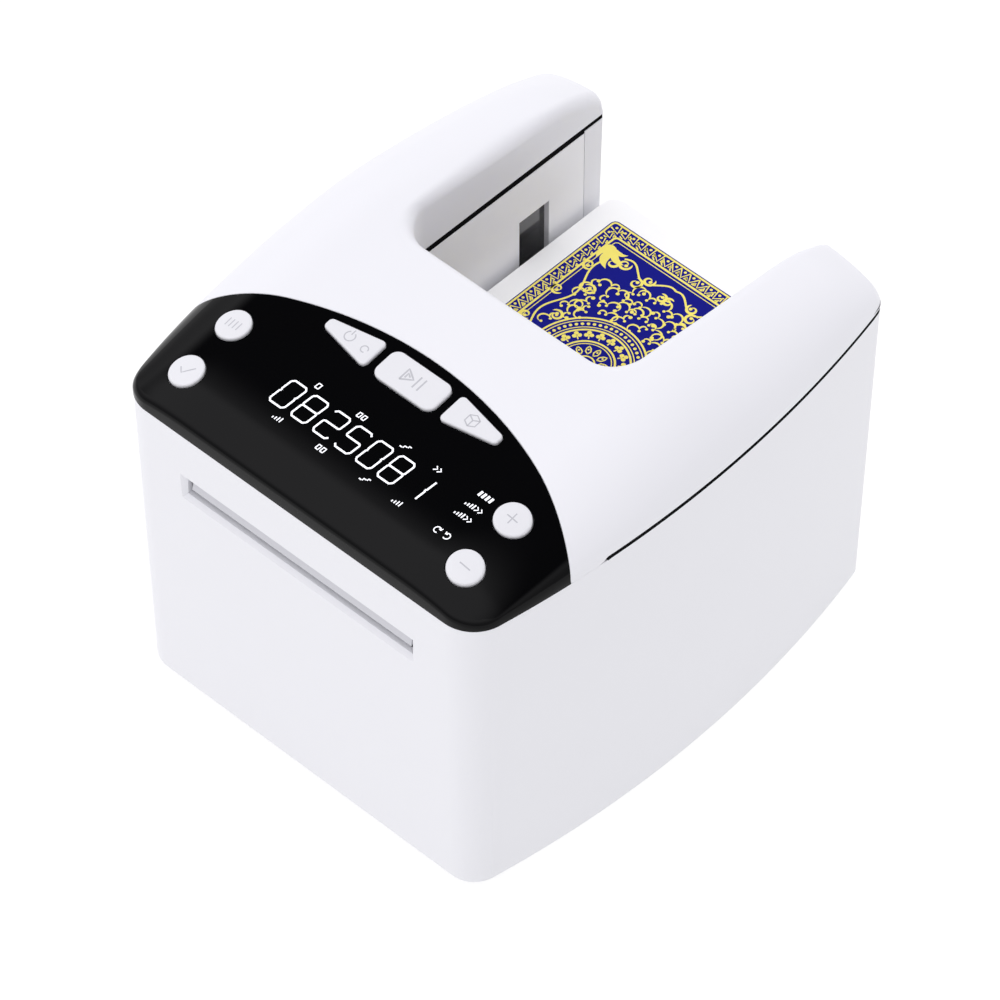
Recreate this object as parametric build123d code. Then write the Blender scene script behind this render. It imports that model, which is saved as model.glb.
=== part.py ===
from build123d import *
import math
import os

os.makedirs("parts", exist_ok=True)

# Automatic card shuffler that stands on a hidden turntable. Millimetres, +Z up, front faces -Y.
# The origin is on the table, on the turntable's axis.

# ---------------------------------------------------------------- driving dimensions
card_width = 63.0
card_length = 88.0
card_corner = 3.5
card_stock = 0.3
deck_height = 16.0

body_length = 136.1
body_width = 121.0
front_width = 106.4
rear_width = 105.7
turn_offset = 0.55
widest_y = 2.0
body_height = 88.9
table_gap = 2.5
front_corner = 9.5
rear_corner = 5.0
wall_draft = 2.1
shell_wall = 2.4
bottom_round = 1.2

seam_gap = 0.9
seam_tilt = 0.3
seam_recess = 1.5
part_line = 0.15

bay_width = 67.0
bay_corner = 9.0
bay_rim_round = 3.6
bay_front_cover = 18.2
liner_wall = 1.5
liner_floor_z = 30.0
post_depth = 6.1
deck_overhang = 1.9
deck_drop = 25.6

panel_arc_radius = 100.0
panel_arc_back = 23.0
panel_lip = 1.2
panel_wall = 2.5
board_depth = 10.5
board_tilt = 11.0
board_thickness = 1.2

key_diameter = 8.6
key_gap = 0.3
key_proud = 0.6
key_travel = 0.8
key_flange = 0.8
key_stem = 2.6
switch_height = 2.0

slot_width = 69.0
slot_height = 5.4
slot_drop = 18.6
slot_bevel = 1.2
chute_gap = 2.2
chute_plate = 1.5

shaft_diameter = 4.0
pin_diameter = 3.0
running_fit = 0.05
clearance = 0.3
feed_tyre_diameter = 14.0
eject_tyre_diameter = 10.0
pressure_tyre_diameter = 10.0
tyre_width = 12.0
tyre_offset = 14.0
gear_module = 0.8
gear_width = 4.0
gear_backlash = 0.24
centre_slack = 0.1
pinion_teeth = 14
feed_teeth = 28
idler_teeth = 24
eject_teeth = 28
motor_diameter = 20.0
motor_length = 25.0
motor_shaft = 2.0
cheek_inner = 37.0
cheek_wall = 2.0

disc_radius = 49.0
disc_thickness = 5.0
foot_height = 1.5
hub_floor_z = 13.0
hub_floor_wall = 2.2
spindle_diameter = 12.0
ring_teeth = 72
turn_teeth = 18
turn_motor_length = 17.0

screw_shank = 2.2
screw_head = 4.4

# ---------------------------------------------------------------- derived levels
front_y = turn_offset - body_length / 2
rear_y = turn_offset + body_length / 2
floor_z = table_gap
seam_z = table_gap + body_height + seam_gap
shell_top_z = table_gap + body_height
deck_top_z = seam_z - deck_drop
deck_bottom_z = deck_top_z - deck_height
deck_rear_y = rear_y + deck_overhang
deck_front_y = deck_rear_y - card_length
deck_mid_y = (deck_front_y + deck_rear_y) / 2
bay_front_y = deck_front_y + bay_front_cover
bay_half = bay_width / 2
arc_front_y = bay_front_y - panel_arc_back
slot_z = seam_z - slot_drop
path_start_z = deck_top_z + 0.2
path_slope = (slot_z - path_start_z) / (deck_front_y - front_y)
liner_front_y = deck_front_y - 1.5


def path_z(y):
    """Height of the card's path at depth y."""
    return path_start_z + (deck_front_y - y) * path_slope


def cylinder(x, y, z, radius, height):
    """Upright cylinder standing on z."""
    return Pos(x, y, z + height / 2) * Cylinder(radius, height)


def block(x0, x1, y0, y1, z0, z1):
    """Box between two corners."""
    return Pos((x0 + x1) / 2, (y0 + y1) / 2, (z0 + z1) / 2) * Box(x1 - x0, y1 - y0, z1 - z0)


def cross_rod(x0, x1, y, z, radius):
    """Cylinder along X."""
    return Pos((x0 + x1) / 2, y, z) * Rot(0, 90, 0) * Cylinder(radius, x1 - x0)


def save(name, *solids):
    """Write one node; several solids make a group."""
    shape = solids[0] if len(solids) == 1 else Compound(children=list(solids))
    export_step(shape, "parts/" + name + ".step")
    print(name, len(solids), round(shape.volume))


# ---------------------------------------------------------------- casing surfaces
def bow_centre():
    """Centre and radius of the arc that bows the casing's right side."""
    (x1, y1), (x2, y2), (x3, y3) = (
        (front_width / 2, front_y),
        (body_width / 2, widest_y),
        (rear_width / 2, rear_y),
    )
    d = 2 * (x1 * (y2 - y3) + x2 * (y3 - y1) + x3 * (y1 - y2))
    s1, s2, s3 = x1 * x1 + y1 * y1, x2 * x2 + y2 * y2, x3 * x3 + y3 * y3
    cx = (s1 * (y2 - y3) + s2 * (y3 - y1) + s3 * (y1 - y2)) / d
    cy = (s1 * (x3 - x2) + s2 * (x1 - x3) + s3 * (x2 - x1)) / d
    return cx, cy, math.hypot(x1 - cx, y1 - cy)


bow_x, bow_y, bow_radius = bow_centre()


def side_x(y):
    """Half width of the casing at depth y."""
    return bow_x + math.sqrt(bow_radius**2 - (y - bow_y) ** 2)


def outline(inset=0.0):
    """Plan of the casing: flat front and rear, bowed sides, rounded corners."""
    near = front_y + inset
    far = rear_y - inset
    fx = front_width / 2 - inset
    mx = body_width / 2 - inset
    rx = rear_width / 2 - inset
    sides = Line((-fx, near), (fx, near)) + ThreePointArc((fx, near), (mx, widest_y), (rx, far))
    sides += Line((rx, far), (-rx, far)) + ThreePointArc((-rx, far), (-mx, widest_y), (-fx, near))
    face = make_face(sides)
    corners = face.vertices().sort_by(Axis.Y)
    face = fillet(corners[:2], max(front_corner - inset, 1.0))
    corners = [v for v in face.vertices() if v.Y > far - 0.01]
    return fillet(corners, max(rear_corner - inset, 1.0))


def below(z, thickness=300.0):
    """Half space under the seam's plane shifted to height z on the axis."""
    return Pos(0, 0, z) * Rot(seam_tilt, 0, 0) * Pos(0, 0, -thickness / 2) * Box(400, 400, thickness)


def above(z, thickness=300.0):
    """Half space over the seam's plane shifted to height z on the axis."""
    return Pos(0, 0, z) * Rot(seam_tilt, 0, 0) * Pos(0, 0, thickness / 2) * Box(400, 400, thickness)


# Height of the top cover over the seam along its depth.
crown_points = [
    (front_y, 3.4),
    (front_y + 9.9, 6.7),
    (front_y + 24.9, 9.8),
    (arc_front_y - 7.0, 11.8),
    (arc_front_y, 12.8),
    (bay_front_y - 11.0, 14.5),
    (bay_front_y, 15.7),
    (bay_front_y + 6.0, 16.2),
    (bay_front_y + 13.0, 16.0),
    (rear_y - 43.6, 15.1),
    (rear_y - 32.6, 14.3),
    (rear_y - 21.6, 13.3),
    (rear_y - 10.6, 11.6),
    (rear_y - 3.0, 8.6),
    (rear_y, 6.7),
]
side_round = 22.0
side_lean = 0.4
side_land = 1.2


def crown(y):
    """Rise of the cover's middle over the seam height at depth y."""
    pts = crown_points
    y = min(max(y, pts[0][0]), pts[-1][0])
    k = max(i for i in range(len(pts) - 1) if pts[i][0] <= y)

    def slope(i):
        lo, hi = max(i - 1, 0), min(i + 1, len(pts) - 1)
        return (pts[hi][1] - pts[lo][1]) / (pts[hi][0] - pts[lo][0])

    span = pts[k + 1][0] - pts[k][0]
    t = (y - pts[k][0]) / span
    a = (2 * t**3 - 3 * t**2 + 1) * pts[k][1] + (3 * t**2 - 2 * t**3) * pts[k + 1][1]
    b = (t**3 - 2 * t**2 + t) * slope(k) + (t**3 - t**2) * slope(k + 1)
    return a + b * span


def dome_section(y, inset):
    """Cross-section of the cover at depth y, wider than the casing so that the plan trims it."""
    w = side_x(y) + side_lean - inset
    top = seam_z + crown(y) - inset
    low = seam_z - 8
    start = min(seam_z - 1.2, top - 1.5)
    k = 0.5523
    rise = top - start
    run = side_round - inset

    def half(s):
        return Bezier(
            (s * w, y, start),
            (s * w, y, start + k * rise),
            (s * (w - run * (1 - k)), y, top),
            (s * (w - run), y, top),
        )

    edges = [
        half(1),
        Line((w - run, y, top), (-(w - run), y, top)),
        half(-1),
        Line((-w, y, start), (-w, y, low)),
        Line((-w, y, low), (w, y, low)),
        Line((w, y, low), (w, y, start)),
    ]
    return Face(Wire(edges))


def dome(inset=0.0):
    """Solid under the cover's outer skin, or under its inner skin when inset."""
    stations = [front_y - 1] + [p[0] for p in crown_points[1:-1]] + [rear_y + 1]
    body = loft([dome_section(y, inset) for y in stations])
    plan = Pos(0, 0, seam_z - 7) * extrude(outline(inset), 60)
    return body & plan


def shell_core(inset, z0, z1):
    """Drafted solid of the lower casing between two heights."""
    bottom = Pos(0, 0, floor_z) * outline(wall_draft + inset)
    top = Pos(0, 0, shell_top_z + 6) * outline(inset)
    return loft([bottom, top]) & block(-100, 100, -120, 120, z0, z1)


# ---------------------------------------------------------------- regions shared by the covers
def bay_prism(grow, z0, z1):
    """The card bay's opening in plan, open at the rear, grown by a wall."""
    half = bay_half + grow
    slab = block(-half, half, bay_front_y - grow, rear_y + 20, z0, z1)
    edges = slab.edges().filter_by(Axis.Z).sort_by(Axis.Y)[:2]
    return fillet(edges, bay_corner + grow)


def panel_zone(grow, z0=0.0):
    """Upright cylinder whose rear arc bounds the control panel."""
    centre_y = arc_front_y - panel_arc_radius
    return cylinder(0, centre_y, z0, panel_arc_radius + grow, 200)


skin = dome()
under_skin = dome(panel_wall)
bay_wall = bay_prism(shell_wall, seam_z - 20, seam_z + 60)

# ---------------------------------------------------------------- lower shell
shell = shell_core(0, floor_z, shell_top_z + 5) & below(shell_top_z)
rim = shell.faces().sort_by(Axis.Z)[0].edges()
shell = fillet(rim, bottom_round)
hollow = shell_core(shell_wall, floor_z - 1, shell_top_z + 5)
liner_outer = bay_half + liner_wall
rear_mouth = block(-bay_half, bay_half, rear_y - 20, rear_y + 5, liner_floor_z, shell_top_z + 20)
posts = block(bay_half, liner_outer + 3, rear_y - post_depth, rear_y - 1, floor_z + 4, shell_top_z + 5)
posts = (posts + mirror(posts, Plane.YZ)) & shell
slot_cut = block(-slot_width / 2, slot_width / 2, front_y - 5, front_y + 6, -slot_height / 2, slot_height / 2)
slot_cut = Pos(0, 0, slot_z) * slot_cut
slot_face_y = front_y + wall_draft * slot_drop / body_height
bevel = loft(
    [
        Pos(0, slot_face_y - 1, slot_z) * Rot(90, 0, 0) * Rectangle(
            slot_width + 2 * slot_bevel + 2, slot_height + 2 * slot_bevel + 2
        ),
        Pos(0, slot_face_y + slot_bevel, slot_z) * Rot(90, 0, 0) * Rectangle(slot_width, slot_height),
    ]
)
port_x = 43.5
port_z = 33.0
port_width = 9.0
port_height = 3.4
port_y = rear_y - wall_draft * (shell_top_z - port_z) / body_height - 0.3
port_half = port_width / 2 + clearance
port_rise = port_height / 2 + clearance
port_cut = block(port_x - port_half, port_x + port_half, port_y - 8, rear_y + 2, port_z - port_rise, port_z + port_rise)
shell = (shell - hollow) + posts - rear_mouth - slot_cut - bevel - port_cut
screw_spots = [(-48.0, front_y + 12.0), (48.0, front_y + 12.0), (-46.0, rear_y - 10.0), (46.0, rear_y - 10.0)]
plate_thickness = 2.2
boss_radius = 3.6
boss_base_z = floor_z + plate_thickness
for bx, by in screw_spots:
    boss = cylinder(bx, by, boss_base_z, boss_radius, 22)
    outward = 1 if bx > 0 else -1
    rib = block(min(bx, bx + outward * 9), max(bx, bx + outward * 9), by - 1, by + 1, boss_base_z, boss_base_z + 20)
    shell += (boss + rib) & shell_core(1.0, floor_z, 60)
    shell -= cylinder(bx, by, boss_base_z, screw_shank / 2 - 0.1, 12)
save("lower_shell", shell)

# ---------------------------------------------------------------- bottom cover with the turntable's recess
cup_radius = disc_radius + 2.0
cup_top = hub_floor_z + hub_floor_wall
plate = shell_core(shell_wall + clearance, floor_z, boss_base_z)
plate -= cylinder(0, 0, floor_z - 1, cup_radius, 20)
cup = cylinder(0, 0, floor_z, cup_radius + 2, cup_top - floor_z)
cup -= cylinder(0, 0, floor_z - 1, cup_radius, hub_floor_z - floor_z + 1)
turn_radius = (ring_teeth + turn_teeth) / 2 * gear_module + centre_slack
turn_x = turn_radius / 2
turn_y = -turn_radius * math.sqrt(3) / 2
spindle_bush_wall = 1.5
bottom_cover = plate + cup
bottom_cover -= cylinder(0, 0, hub_floor_z - 1, spindle_diameter / 2 + spindle_bush_wall, 6)
bottom_cover -= cylinder(turn_x, turn_y, hub_floor_z - 1, 3.5, 6)
frame_screw_spots = [(-cheek_inner - 2.0, front_y + 9.4), (cheek_inner + 2.0, front_y + 9.4)]
for bx, by in screw_spots + frame_screw_spots:
    bottom_cover -= cylinder(bx, by, floor_z - 1, screw_shank / 2 + 0.1, 6)
    bottom_cover -= cylinder(bx, by, floor_z - 1, screw_head / 2 + 0.2, 2.2)
save("bottom_cover", bottom_cover)
save(
    "bottom_screws",
    *[
        cylinder(bx, by, floor_z - 0.4, screw_head / 2, 1.6) + cylinder(bx, by, floor_z + 1.2, screw_shank / 2 - 0.1, 9)
        for bx, by in screw_spots + frame_screw_spots
    ],
)

# ---------------------------------------------------------------- turntable base
base_top = foot_height + disc_thickness
disc = cylinder(0, 0, foot_height, disc_radius, disc_thickness)
disc -= cylinder(0, 0, foot_height - 1, 38, 3)
spindle_top = cup_top + 0.6
spindle = cylinder(0, 0, foot_height + 2, spindle_diameter / 2, spindle_top - foot_height - 2)
screw_top = spindle_top + 2.2
disc = disc + spindle - cylinder(0, 0, spindle_top - 8, screw_shank / 2, 9)
save("turntable_disc", disc)
foot = cylinder(0, 0, 0, disc_radius - 1, foot_height) - cylinder(0, 0, -1, disc_radius - 11, foot_height + 2)
centre_pad = cylinder(0, 0, 0, 10.0, foot_height)
save("foot_ring", foot, centre_pad)
glide = cylinder(0, 0, base_top, disc_radius - 0.5, hub_floor_z - clearance - base_top)
glide -= cylinder(0, 0, base_top - 1, disc_radius - 3.5, 20)
save("glide_ring", glide)


def gear(teeth, width, bore, phase=0.0):
    """Spur gear about +Z standing on z=0, with involute flanks."""
    pitch = gear_module * teeth / 2
    base = pitch * math.cos(math.radians(20))
    tip = pitch + 0.8 * gear_module
    root = pitch - 1.15 * gear_module
    half = math.pi / (2 * teeth) - gear_backlash / (2 * pitch)

    def involute(r):
        a = math.acos(min(base / r, 1.0))
        return math.tan(a) - a

    start = max(base, root)
    radii = [start + (tip - start) * k / 3 for k in range(4)]
    flank = [(r, half + involute(pitch) - involute(r)) for r in radii]
    if root < base:
        flank = [(root, flank[0][1])] + flank
    points = []
    for n in range(teeth):
        middle = math.radians(phase) + 2 * math.pi * n / teeth
        points += [(r * math.cos(middle - a), r * math.sin(middle - a)) for r, a in flank]
        points += [(r * math.cos(middle + a), r * math.sin(middle + a)) for r, a in reversed(flank)]
    blank = extrude(make_face(Polyline(*points, close=True)), width)
    return blank - cylinder(0, 0, -1, bore / 2, width + 2)


def mesh_phase(teeth, phase, mate_teeth, direction):
    """Phase in degrees that puts the mate's gap on this gear's tooth, along a direction."""
    return direction + 180 - (180 - teeth * (direction - phase)) / mate_teeth


ring_z = base_top + 1.0
hub_boss = cylinder(0, 0, base_top, 14, 1.0) - cylinder(0, 0, base_top - 1, spindle_diameter / 2, 9)
ring = Pos(0, 0, ring_z) * gear(ring_teeth, gear_width, spindle_diameter)
save("ring_gear", ring + hub_boss)
spindle_washer = cylinder(0, 0, spindle_top, 10.5, 1.0) - cylinder(0, 0, spindle_top - 1, screw_shank / 2 + 0.1, 4)
save("spindle_washer", spindle_washer)
spindle_screw = cylinder(0, 0, spindle_top + 1, screw_head / 2, 1.4)
spindle_screw += cylinder(0, 0, spindle_top - 6, screw_shank / 2 - 0.05, 7.1)
save("spindle_screw", spindle_screw)
bush = cylinder(0, 0, hub_floor_z, spindle_diameter / 2 + spindle_bush_wall, hub_floor_wall)
bush -= cylinder(0, 0, hub_floor_z - 1, spindle_diameter / 2 + running_fit, 6)
save("spindle_bush", bush)

# ---------------------------------------------------------------- turn drive
turn_direction = math.degrees(math.atan2(turn_y, turn_x))
turn_phase = mesh_phase(ring_teeth, 0, turn_teeth, turn_direction)
turn_shaft_top = cup_top + 4
pinion = Pos(turn_x, turn_y, ring_z) * gear(turn_teeth, gear_width, motor_shaft, turn_phase)
turn_shaft = cylinder(turn_x, turn_y, ring_z, motor_shaft / 2, turn_shaft_top - ring_z)
save("turn_pinion", pinion + turn_shaft)
turn_motor = cylinder(turn_x, turn_y, cup_top, motor_diameter / 2, turn_motor_length)
turn_motor = chamfer(turn_motor.edges().sort_by(Axis.Z)[-1], 1.0)
turn_motor -= cylinder(turn_x, turn_y, cup_top - 1, motor_shaft / 2 + running_fit, 7)
save("turn_motor", turn_motor)

# ---------------------------------------------------------------- bay liner, lift plate and deck
liner_low = liner_floor_z - 2.0
liner_front = liner_front_y - liner_wall
liner_rear = rear_y - post_depth - 0.2
liner = block(-liner_outer, liner_outer, liner_front, liner_rear, liner_low, shell_top_z + 3)
liner = fillet(liner.edges().filter_by(Axis.Z).sort_by(Axis.Y)[:2], 3.0)
liner_hole = block(-bay_half, bay_half, liner_front_y, rear_y + 9, liner_floor_z, shell_top_z + 9)
liner_hole = fillet(liner_hole.edges().filter_by(Axis.Z).sort_by(Axis.Y)[:2], 1.5)
liner -= liner_hole
liner &= below(shell_top_z - 0.6)
throat_z = path_start_z - 2.4
liner -= block(-bay_half - 5, bay_half + 5, liner_front - 2, liner_front_y + 2.5, throat_z, shell_top_z + 9)
feed_y = deck_front_y + 9.0
feed_z = deck_top_z + clearance + feed_tyre_diameter / 2
liner -= cross_rod(-60, 60, feed_y, feed_z, shaft_diameter / 2 + 1)
window_y0 = rear_y - 28.0
window_y1 = window_y0 + 10.0
window_z1 = seam_z - 14.2
window_z0 = window_z1 - 20.0
liner -= block(-bay_half - 3, -bay_half + 1, window_y0, window_y1, window_z0, window_z1)
save("bay_liner", liner)
window = block(-liner_outer - 1.2, -liner_outer, window_y0 - 1.5, window_y1 + 1.5, window_z0 - 1.5, window_z1 + 1.5)
save("bay_window", window)
sensor_z = (window_z0 + window_z1) / 2
sensor = block(-liner_outer - 6, -liner_outer - 1.4, window_y0 + 2, window_y1 - 2, sensor_z - 3, sensor_z + 3)
save("deck_sensor", sensor)

plate_thick = 2.0
lift_top = deck_bottom_z - clearance
lift_low = lift_top - plate_thick
lift_travel = deck_height
lift_plate = block(-card_width / 2, card_width / 2, deck_front_y + 1, liner_rear - 2, lift_low, lift_top)
lift_plate = fillet(lift_plate.edges().filter_by(Axis.Z), 3.0)
lift_plate -= cylinder(0, liner_rear - 2, lift_low - 1, 11, 5)
pad = block(-16, 16, deck_front_y + 4, deck_front_y + 16, lift_top - 0.8, lift_top)
lift_plate -= pad
save("lift_plate", lift_plate)
save("lift_pad", pad)
spring_wire = 1.0
spring_turns = 4
spring_low_radius = 11.0
spring_high_radius = 7.4
spring_height = lift_low - liner_floor_z
spring_rise = spring_height - spring_wire


def coil_point(along):
    """Point on the tapered coil, along from 0 at its wide foot to 1 at its narrow head."""
    turn = 2 * math.pi * spring_turns * along
    radius = spring_low_radius + (spring_high_radius - spring_low_radius) * along
    return radius * math.cos(turn), radius * math.sin(turn), spring_rise * along


coil = Spline([coil_point(i / (24 * spring_turns)) for i in range(24 * spring_turns + 1)])
spring = sweep(Plane(coil @ 0, z_dir=coil % 0) * Circle(spring_wire / 2), path=coil)
springs = []
for sy in (deck_mid_y - 24.0, deck_mid_y + 14.0):
    springs.append(Pos(0, sy, liner_floor_z + spring_wire / 2 + 0.02) * spring)
save("lift_springs", *springs)

deck = block(-card_width / 2, card_width / 2, deck_front_y, deck_rear_y, deck_bottom_z, deck_top_z)
deck = fillet(deck.edges().filter_by(Axis.Z), card_corner)
save("card_deck", deck & block(-99, 99, -99, 199, 0, deck_top_z - card_stock))
save("top_card", deck & block(-99, 99, -99, 199, deck_top_z - card_stock, 199))

# ---------------------------------------------------------------- mechanism frame
frame_z = cup_top + turn_motor_length + 1.2
frame_top = deck_top_z + 17.0
frame_front = front_y + 5.9
frame_rear = bay_front_y + 1.0
cross_plate = block(-cheek_inner, cheek_inner, frame_front, liner_front - 1.0, frame_z, frame_z + 2)
cheek = block(cheek_inner, cheek_inner + cheek_wall, frame_front, frame_rear, frame_z, frame_top)
cheek = chamfer(cheek.edges().filter_by(Axis.X).sort_by(Axis.Z)[-2:], 6.0)
leg_front = frame_screw_spots[1]
leg_rear = (cheek_inner + 2.0, frame_rear - 4.0)
legs = []
for lx, ly in (leg_front, leg_rear):
    foot_z = boss_base_z if math.hypot(lx, ly) > cup_radius + 7 else cup_top
    legs.append(cylinder(lx, ly, foot_z, 3.5, frame_z + 2 - foot_z))
half_frame = cheek + legs[0] + legs[1]
half_frame -= cylinder(leg_front[0], leg_front[1], boss_base_z, screw_shank / 2 - 0.1, 12)

feed_pinion_angle = -135.0
idler_angle = -130.0


def offset_axis(y, z, teeth_a, teeth_b, angle):
    """Centre of the mate of a gear at (y, z), along an angle from +Y towards +Z."""
    reach = (teeth_a + teeth_b) / 2 * gear_module + centre_slack
    return y + reach * math.cos(math.radians(angle)), z + reach * math.sin(math.radians(angle))


idler_y, idler_z = offset_axis(feed_y, feed_z, feed_teeth, idler_teeth, feed_pinion_angle)
feed_motor_y, feed_motor_z = offset_axis(idler_y, idler_z, idler_teeth, pinion_teeth, idler_angle)
eject_y = front_y + 17.5
eject_z = path_z(eject_y) - clearance - eject_tyre_diameter / 2
eject_motor_y, eject_motor_z = offset_axis(eject_y, eject_z, eject_teeth, pinion_teeth, -90.0)
press_y = eject_y
press_z = path_z(eject_y) + clearance + pressure_tyre_diameter / 2

bush_radius = shaft_diameter / 2 + 1.5
frame = cross_plate + half_frame + mirror(half_frame, Plane.YZ)
for axle_y, axle_z in ((feed_y, feed_z), (eject_y, eject_z), (press_y, press_z)):
    frame -= cross_rod(-60, 60, axle_y, axle_z, bush_radius)
frame -= cross_rod(0, 60, feed_motor_y, feed_motor_z, 4.0)
frame -= cross_rod(-60, 0, eject_motor_y, eject_motor_z, 4.0)
frame -= cross_rod(0, 60, idler_y, idler_z, pin_diameter / 2)
save("mechanism_frame", frame)


# ---------------------------------------------------------------- rollers
def on_x(x, y, z, shape):
    """Place a shape made about +Z so that it runs along +X."""
    return Plane(origin=(x, y, z), x_dir=(0, 1, 0), z_dir=(1, 0, 0)) * shape


def sleeves(y, z, inner, outer):
    """Pair of sleeves on a cross shaft."""
    pair = []
    for s in (-1, 1):
        x0 = s * tyre_offset - tyre_width / 2
        x1 = s * tyre_offset + tyre_width / 2
        pair.append(cross_rod(x0, x1, y, z, outer / 2) - cross_rod(x0 - 1, x1 + 1, y, z, inner / 2))
    return pair


def bushes(y, z):
    """Flangeless bushes pressed in both cheeks."""
    pair = []
    for s in (-1, 1):
        x0 = min(s * cheek_inner, s * (cheek_inner + cheek_wall))
        ring = cross_rod(x0, x0 + cheek_wall, y, z, bush_radius)
        pair.append(ring - cross_rod(x0 - 1, x0 + 9, y, z, shaft_diameter / 2 + running_fit))
    return pair


gear_x = cheek_inner + cheek_wall + 1.5
shaft_end = gear_x + gear_width + 0.5
hub_diameter = shaft_diameter + 4.0
save("feed_shaft", cross_rod(-shaft_end + 4, shaft_end, feed_y, feed_z, shaft_diameter / 2))
save("feed_hubs", *sleeves(feed_y, feed_z, shaft_diameter, hub_diameter))
save("feed_tyres", *sleeves(feed_y, feed_z, hub_diameter, feed_tyre_diameter))
save("feed_gear", on_x(gear_x, feed_y, feed_z, gear(feed_teeth, gear_width, shaft_diameter)))

idler_phase = mesh_phase(feed_teeth, 0, idler_teeth, feed_pinion_angle)
pinion_phase = mesh_phase(idler_teeth, idler_phase, pinion_teeth, idler_angle)
idler_bore = pin_diameter + 2 * running_fit
save("feed_idler", on_x(gear_x, idler_y, idler_z, gear(idler_teeth, gear_width, idler_bore, idler_phase)))
idler_pin = cross_rod(cheek_inner, gear_x + gear_width + 0.8, idler_y, idler_z, pin_diameter / 2)
idler_pin += cross_rod(gear_x + gear_width + 0.8, gear_x + gear_width + 2, idler_y, idler_z, pin_diameter / 2 + 1)
save("idler_pin", idler_pin)
feed_pinion = gear(pinion_teeth, gear_width, motor_shaft, pinion_phase)
feed_pinion = on_x(gear_x, feed_motor_y, feed_motor_z, feed_pinion)
feed_pinion += cross_rod(cheek_inner - 5, shaft_end, feed_motor_y, feed_motor_z, motor_shaft / 2)
save("feed_pinion", feed_pinion)
motor = cross_rod(cheek_inner - motor_length, cheek_inner, feed_motor_y, feed_motor_z, motor_diameter / 2)
motor = chamfer(motor.edges().filter_by(GeomType.CIRCLE).sort_by(Axis.X)[0], 1.0)
motor -= cross_rod(cheek_inner - 6, cheek_inner + 1, feed_motor_y, feed_motor_z, motor_shaft / 2 + running_fit)
save("feed_motor", motor)

save("eject_shaft", cross_rod(-shaft_end, shaft_end - 4, eject_y, eject_z, shaft_diameter / 2))
save("eject_tyres", *sleeves(eject_y, eject_z, shaft_diameter, eject_tyre_diameter))
left_gear_x = -gear_x - gear_width
eject_gear = gear(eject_teeth, gear_width, shaft_diameter)
save("eject_gear", on_x(left_gear_x, eject_y, eject_z, eject_gear))
eject_phase = mesh_phase(eject_teeth, 0, pinion_teeth, -90.0)
eject_pinion = gear(pinion_teeth, gear_width, motor_shaft, eject_phase)
eject_pinion = on_x(left_gear_x, eject_motor_y, eject_motor_z, eject_pinion)
eject_pinion += cross_rod(-shaft_end, 5 - cheek_inner, eject_motor_y, eject_motor_z, motor_shaft / 2)
save("eject_pinion", eject_pinion)
motor = cross_rod(-cheek_inner, motor_length - cheek_inner, eject_motor_y, eject_motor_z, motor_diameter / 2)
motor = chamfer(motor.edges().filter_by(GeomType.CIRCLE).sort_by(Axis.X)[-1], 1.0)
motor -= cross_rod(-cheek_inner - 1, 6 - cheek_inner, eject_motor_y, eject_motor_z, motor_shaft / 2 + running_fit)
save("eject_motor", motor)
save("pressure_shaft", cross_rod(-cheek_inner - 3, cheek_inner + 3, press_y, press_z, shaft_diameter / 2))
save("pressure_tyres", *sleeves(press_y, press_z, shaft_diameter, pressure_tyre_diameter))
save("roller_bushes", *bushes(feed_y, feed_z), *bushes(eject_y, eject_z), *bushes(press_y, press_z))


# ---------------------------------------------------------------- card chute
def chute(offset_low, offset_high, y0, y1):
    """Sloping plate between two heights beside the card's path."""
    corners = [
        (0, y0, path_z(y0) + offset_low),
        (0, y1, path_z(y1) + offset_low),
        (0, y1, path_z(y1) + offset_high),
        (0, y0, path_z(y0) + offset_high),
    ]
    face = make_face(Polyline(*corners, close=True))
    return extrude(face, cheek_inner - 0.1, dir=(1, 0, 0), both=True)


chute_front = front_y + shell_wall + 1.4
chute_rear = liner_front - 0.3
half_gap = chute_gap / 2
lower_chute = chute(-half_gap - chute_plate, -half_gap, chute_front, chute_rear)
upper_chute = chute(half_gap, half_gap + chute_plate, chute_front, chute_rear)
for s in (-1, 1):
    x0 = s * tyre_offset - tyre_width / 2 - 1
    x1 = s * tyre_offset + tyre_width / 2 + 1
    roller_slot = block(x0, x1, eject_y - 6.5, eject_y + 6.5, path_z(eject_y) - 9, path_z(eject_y) + 9)
    lower_chute -= roller_slot
    upper_chute -= roller_slot
save("lower_chute", lower_chute)
save("upper_chute", upper_chute)
sensor_y = eject_y + 14.0
sensor_low = path_z(sensor_y) + half_gap + chute_plate
save("card_sensor", block(-4, 4, sensor_y - 3, sensor_y + 3, sensor_low + 0.4, sensor_low + 4))

# ---------------------------------------------------------------- seam spacer, top cover and control panel
spacer = extrude(outline(seam_recess), 40) - extrude(outline(5.0), 40)
bay_ring = bay_prism(5.0, 0, 40) - bay_prism(seam_recess, -1, 60)
bay_ring &= extrude(outline(seam_recess), 40)
spacer = Pos(0, 0, shell_top_z - 20) * (spacer + bay_ring)
spacer -= bay_prism(seam_recess, 0, 200)
spacer = spacer & above(shell_top_z) & below(seam_z)
spacer -= panel_zone(clearance)
save("seam_spacer", *spacer.solids())

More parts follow.
